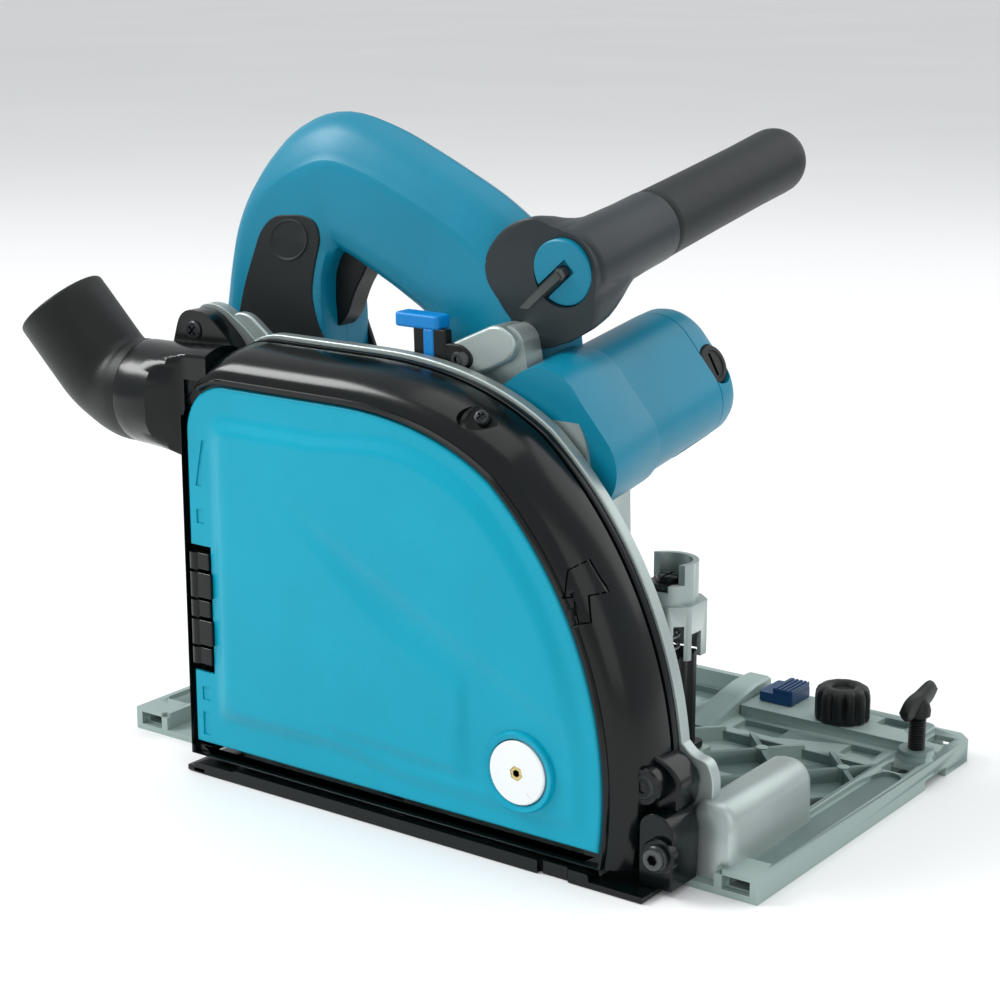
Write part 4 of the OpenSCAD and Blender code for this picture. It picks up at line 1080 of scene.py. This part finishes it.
def front_grip():
    profile = [(15.2, 67.2), (15.55, 67.6), (15.5, 72), (15.2, 110), (15.1, 150), (15.4, 172)]
    for k in range(1, 13):
        a = math.pi / 2 * k / 12
        profile.append((15.4 * math.cos(a) ** 0.8 if k < 12 else 0.3, 174.5 + 14.4 * math.sin(a)))
    v, f = turned(profile, GRIP_O, GRIP_WAY, 64)
    place("grip_skin", v, f, "grip_rubber", "head", ["front_grip"], 50.0)


def bracket():
    """Charcoal saddle: the grip's boss flares down on to the shell."""
    v, f = turned([(14.6, 3.4), (16.2, 3.6), (16.8, 4.6), (17.0, 8), (16.6, 30), (15.9, 50), (15.8, 66.6),
                   (15.2, 67.0)],
                  GRIP_O, GRIP_WAY, 72)
    obj = place("bracket_boss", v, f, "bracket_grey", "head", ["grip_bracket"], 45.0)
    mouth = [(14.4, -6), (14.4, 4.3)]
    boolean(obj, [turned(mouth, GRIP_O, GRIP_WAY, 64)], "DIFFERENCE")
    tidy(obj, 45.0)
    shape = [(-10, 16.5), (60, 16.5), (90, 17), (108, 19.5), (122, 25), (140, 30), (156, 34.5),
             (171, 38.5), (181, 40.5),
             (190, 40.0), (203, 36.4), (225, 34), (244, 36.5), (256, 33.5), (268, 30), (289, 27),
             (303, 26.2), (315, 22),
             (330, 18.0), (350, 16.5)]
    rings = []
    for y, t, t_low in ((28.7, 0.06, 0.05), (29.3, 0.0, 0.0), (34, 0.04, 0.0), (39, 0.22, 0.05),
                        (44, 0.48, 0.12),
                        (50, 0.74, 0.28), (56, 0.9, 0.5), (61, 0.97, 0.72), (66, 1.0, 0.96)):
        c = GRIP_O + GRIP_WAY * (y - GRIP_O.y)
        ring = []
        for k in range(96):
            deg = -10 + 360 * k / 96
            r = 16.5
            for (a0, r0), (a1, r1) in zip(shape, shape[1:]):
                if a0 <= deg <= a1:
                    s = (deg - a0) / (a1 - a0)
                    r = r0 + (r1 - r0) * s
            low = smoothstep(205, 235, deg) * (1 - smoothstep(315, 335, deg))
            blend = t * (1 - low) + t_low * low
            r = r + (16.0 - r) * blend
            a = math.radians(deg)
            ring.append((c.x + r * math.cos(a), y, c.z + r * math.sin(a)))
        rings.append(ring)
    obj = place("bracket_saddle", *rings_mesh(rings), "bracket_grey", "head", (), 40.0)
    boolean(obj, [turned(mouth, GRIP_O, GRIP_WAY, 64)], "DIFFERENCE")
    tidy(obj, 40.0)


def grip_end_cap():
    v, f = turned([(13.4, 3.9), (14.1, 3.9), (14.2, 0.6), (13.6, 0.0), (0.4, -0.3)], GRIP_O, GRIP_WAY, 72)
    obj = place("grip_cap_skin", v, f, "blue_shell", "head", ["grip_cap"])
    side = Vector((1, 0, 0))
    up = side.cross(GRIP_WAY)
    lead = -side * math.sin(WRENCH_A) - up * math.cos(WRENCH_A)
    # slot that holds the short leg of the wrench
    other = lead.cross(GRIP_WAY)
    pts = [tuple(GRIP_O + GRIP_WAY * h + lead * p + other * q) for h in (-3.0, 2.6)
           for p, q in ((-5.5, -3.4), (20, -3.4), (20, 3.4), (-5.5, 3.4))]
    tool = (pts, BOX_FACES)
    boolean(obj, [tool], "DIFFERENCE")
    tidy(obj)


def lock_lever():
    outline = rounded([(-22.4, 10.9), (-22.4, 20.9), (0.9, 20.9), (0.9, 10.9)], 2.4)
    obj = place("lock_paddle", *prism_z(outline, 208.2, 214.4), "bright_blue", "lock_lever",
                ["plunge_lock_lever"])
    soften(obj, 1.2, 4)
    stem = rounded([(-12, 190), (-12.5, 209), (4.5, 209), (5.5, 190)], [3, 1, 1, 3])
    soften(place("lock_stem", *prism_y(stem, 11.4, 16.4), "soft_black", "lock_lever"), 1.0)
    rib = rounded([(-6.5, 191), (-7, 208.6), (-1.5, 208.6), (-1.0, 191)], 1.0)
    soften(place("lock_stem_rib", *prism_y(rib, 10.9, 14.0), "bright_blue", "lock_lever"), 0.8)
    arm = rounded([(-8, 193), (-6, 203), (14, 204), (20, 198), (14, 191.5)], [3, 4, 5, 5, 4])
    soften(place("lock_arm", *prism_y(arm, 11.6, 16.2), "soft_black", "lock_lever"), 1.0)


def dial():
    """Lock dial: a plain metal disc with a brass hexagon and an index tick."""
    c = (DIAL[0], DOOR_Y, DIAL[1])
    v, f = turned([(12.9, 1.9), (13.6, 1.4), (13.6, -0.4), (13.1, -1.0), (0.3, -1.1)], c, (0, 1, 0), 96)
    obj = place("dial_face", v, f, "dial_metal", "dial", ["lock_dial"], 30.0)
    a = math.radians(-52)
    out = Vector((math.cos(a), 0, math.sin(a)))
    other = Vector((0, 1, 0)).cross(out)
    pts = [tuple(Vector(c) + Vector((0, y, 0)) + out * p + other * q) for y in (-3.0, -0.8)
           for p, q in ((9.2, -0.45), (12.4, -0.45), (12.4, 0.45), (9.2, 0.45))]
    tick = (pts, BOX_FACES)
    boolean(obj, [tick, turned([(3.3, -5), (3.3, -0.2)], c, (0, 1, 0), 6)], "DIFFERENCE")
    tidy(obj, 30.0)
    v, f = turned([(3.25, 0.4), (3.25, -0.75), (2.9, -1.0), (1.7, -1.0), (1.7, -0.2), (0.2, -0.2)], c,
                  (0, 1, 0), 6)
    place("dial_hexagon", v, f, "brass", "dial", (), 20.0)


def lever_seat():
    """Cast boss that the lock lever turns on, with the end of its pin."""
    outline = rounded([(2.5, 195), (5, 203), (30, 214.5), (40, 209), (38, 200), (22, 192), (9, 189.5)],
                      [4, 4, 5, 4, 5, 6, 5])
    obj = place("lever_seat", *prism_y(outline, 12.4, 28.8), "cast_silver", "head")
    soften(obj, 1.8, 4)
    v, f = turned([(3.2, 0), (3.2, 2.2), (2.6, 2.9), (1.2, 2.9), (1.2, 2.0), (0.3, 2.0)],
                  (11.0, 13.4, 197.5), (0, -1, 0), 32)
    place("lever_pin_head", v, f, "black_steel", "head")


# ---------------------------------------------------------------- CAD nodes that stay
def finish_cad():
    """Gives every CAD node its own material."""
    slots = {s["node"]: s["material_slot"] for s in frame["record"]["subparts"]}
    for name, obj in frame["nodes"].items():
        obj.data.materials.clear()
        obj.data.materials.append(MATS[slots[name]])


# ---------------------------------------------------------------- stage
def stage():
    floor_mat, nodes, links, bsdf = node_tree("floor")
    coord = nodes.new("ShaderNodeTexCoord")
    drift = noise(nodes, links, coord, 1.5, 2.0)
    tone = ramp(nodes, links, drift.outputs["Fac"], [(0.3, (0.86, 0.87, 0.87)), (0.7, (0.89, 0.9, 0.9))])
    links.new(tone.outputs["Color"], bsdf.inputs["Base Color"])
    bsdf.inputs["Roughness"].default_value = 0.6
    mesh = bpy.data.meshes.new("floor")
    r = 40.0
    mesh.from_pydata([(-r, -r, 0), (r, -r, 0), (r, r, 0), (-r, r, 0)], [], [(0, 1, 2, 3)])
    mesh.materials.append(floor_mat)
    floor = bpy.data.objects.new("floor", mesh)
    bpy.context.collection.objects.link(floor)
    world = bpy.context.scene.world or bpy.data.worlds.new("world")
    bpy.context.scene.world = world
    world.use_nodes = True
    back = world.node_tree.nodes["Background"]
    back.inputs["Color"].default_value = (0.97, 0.985, 1.0, 1)
    back.inputs["Strength"].default_value = 0.72
    lights = [("key", (-1.4, -0.75, 1.5), 0.8, 30.0), ("fill", (1.7, -0.9, 0.9), 1.4, 6.0),
              ("rim", (0.7, 1.5, 1.2), 1.6, 10.0), ("top", (0.0, 0.1, 2.1), 1.6, 10.0)]
    for name, at, size, power in lights:
        data = bpy.data.lights.new(name, "AREA")
        data.size = size
        data.energy = power
        lamp = bpy.data.objects.new(name, data)
        bpy.context.collection.objects.link(lamp)
        lamp.location = at
        aim = Vector((0.0, 0.05, 0.12)) - Vector(at)
        lamp.rotation_euler = aim.to_track_quat("-Z", "Y").to_euler()
    bpy.context.scene.view_settings.view_transform = "Standard"


def camera():
    data = bpy.data.cameras.new("camera")
    data.lens = 80.8
    data.sensor_width = 36.0
    cam = bpy.data.objects.new("camera", data)
    cam.location = (0.56762, -0.72094, 0.37631)
    cam.rotation_euler = (math.radians(90 - 14.59), 0, math.radians(36.13))
    bpy.context.collection.objects.link(cam)
    bpy.context.scene.camera = cam


camera()
stage()
finish_cad()
door()
dial()
cover()
dust_port()
nozzle()
case_back()
pivot_block()
base_casting()
shoe()
front_bracket()
tower()
pillar()
stop_screw()
fluted_knob()
wing_screw(1, "wing_front", "wing_screw_front")
wing_screw(-1, "wing_rear", "wing_screw_rear")
track_lever()
motor()
handle()
rubber()
button()
trigger()
shell_screws()
front_grip()
bracket()
grip_end_cap()
lock_lever()
lever_seat()
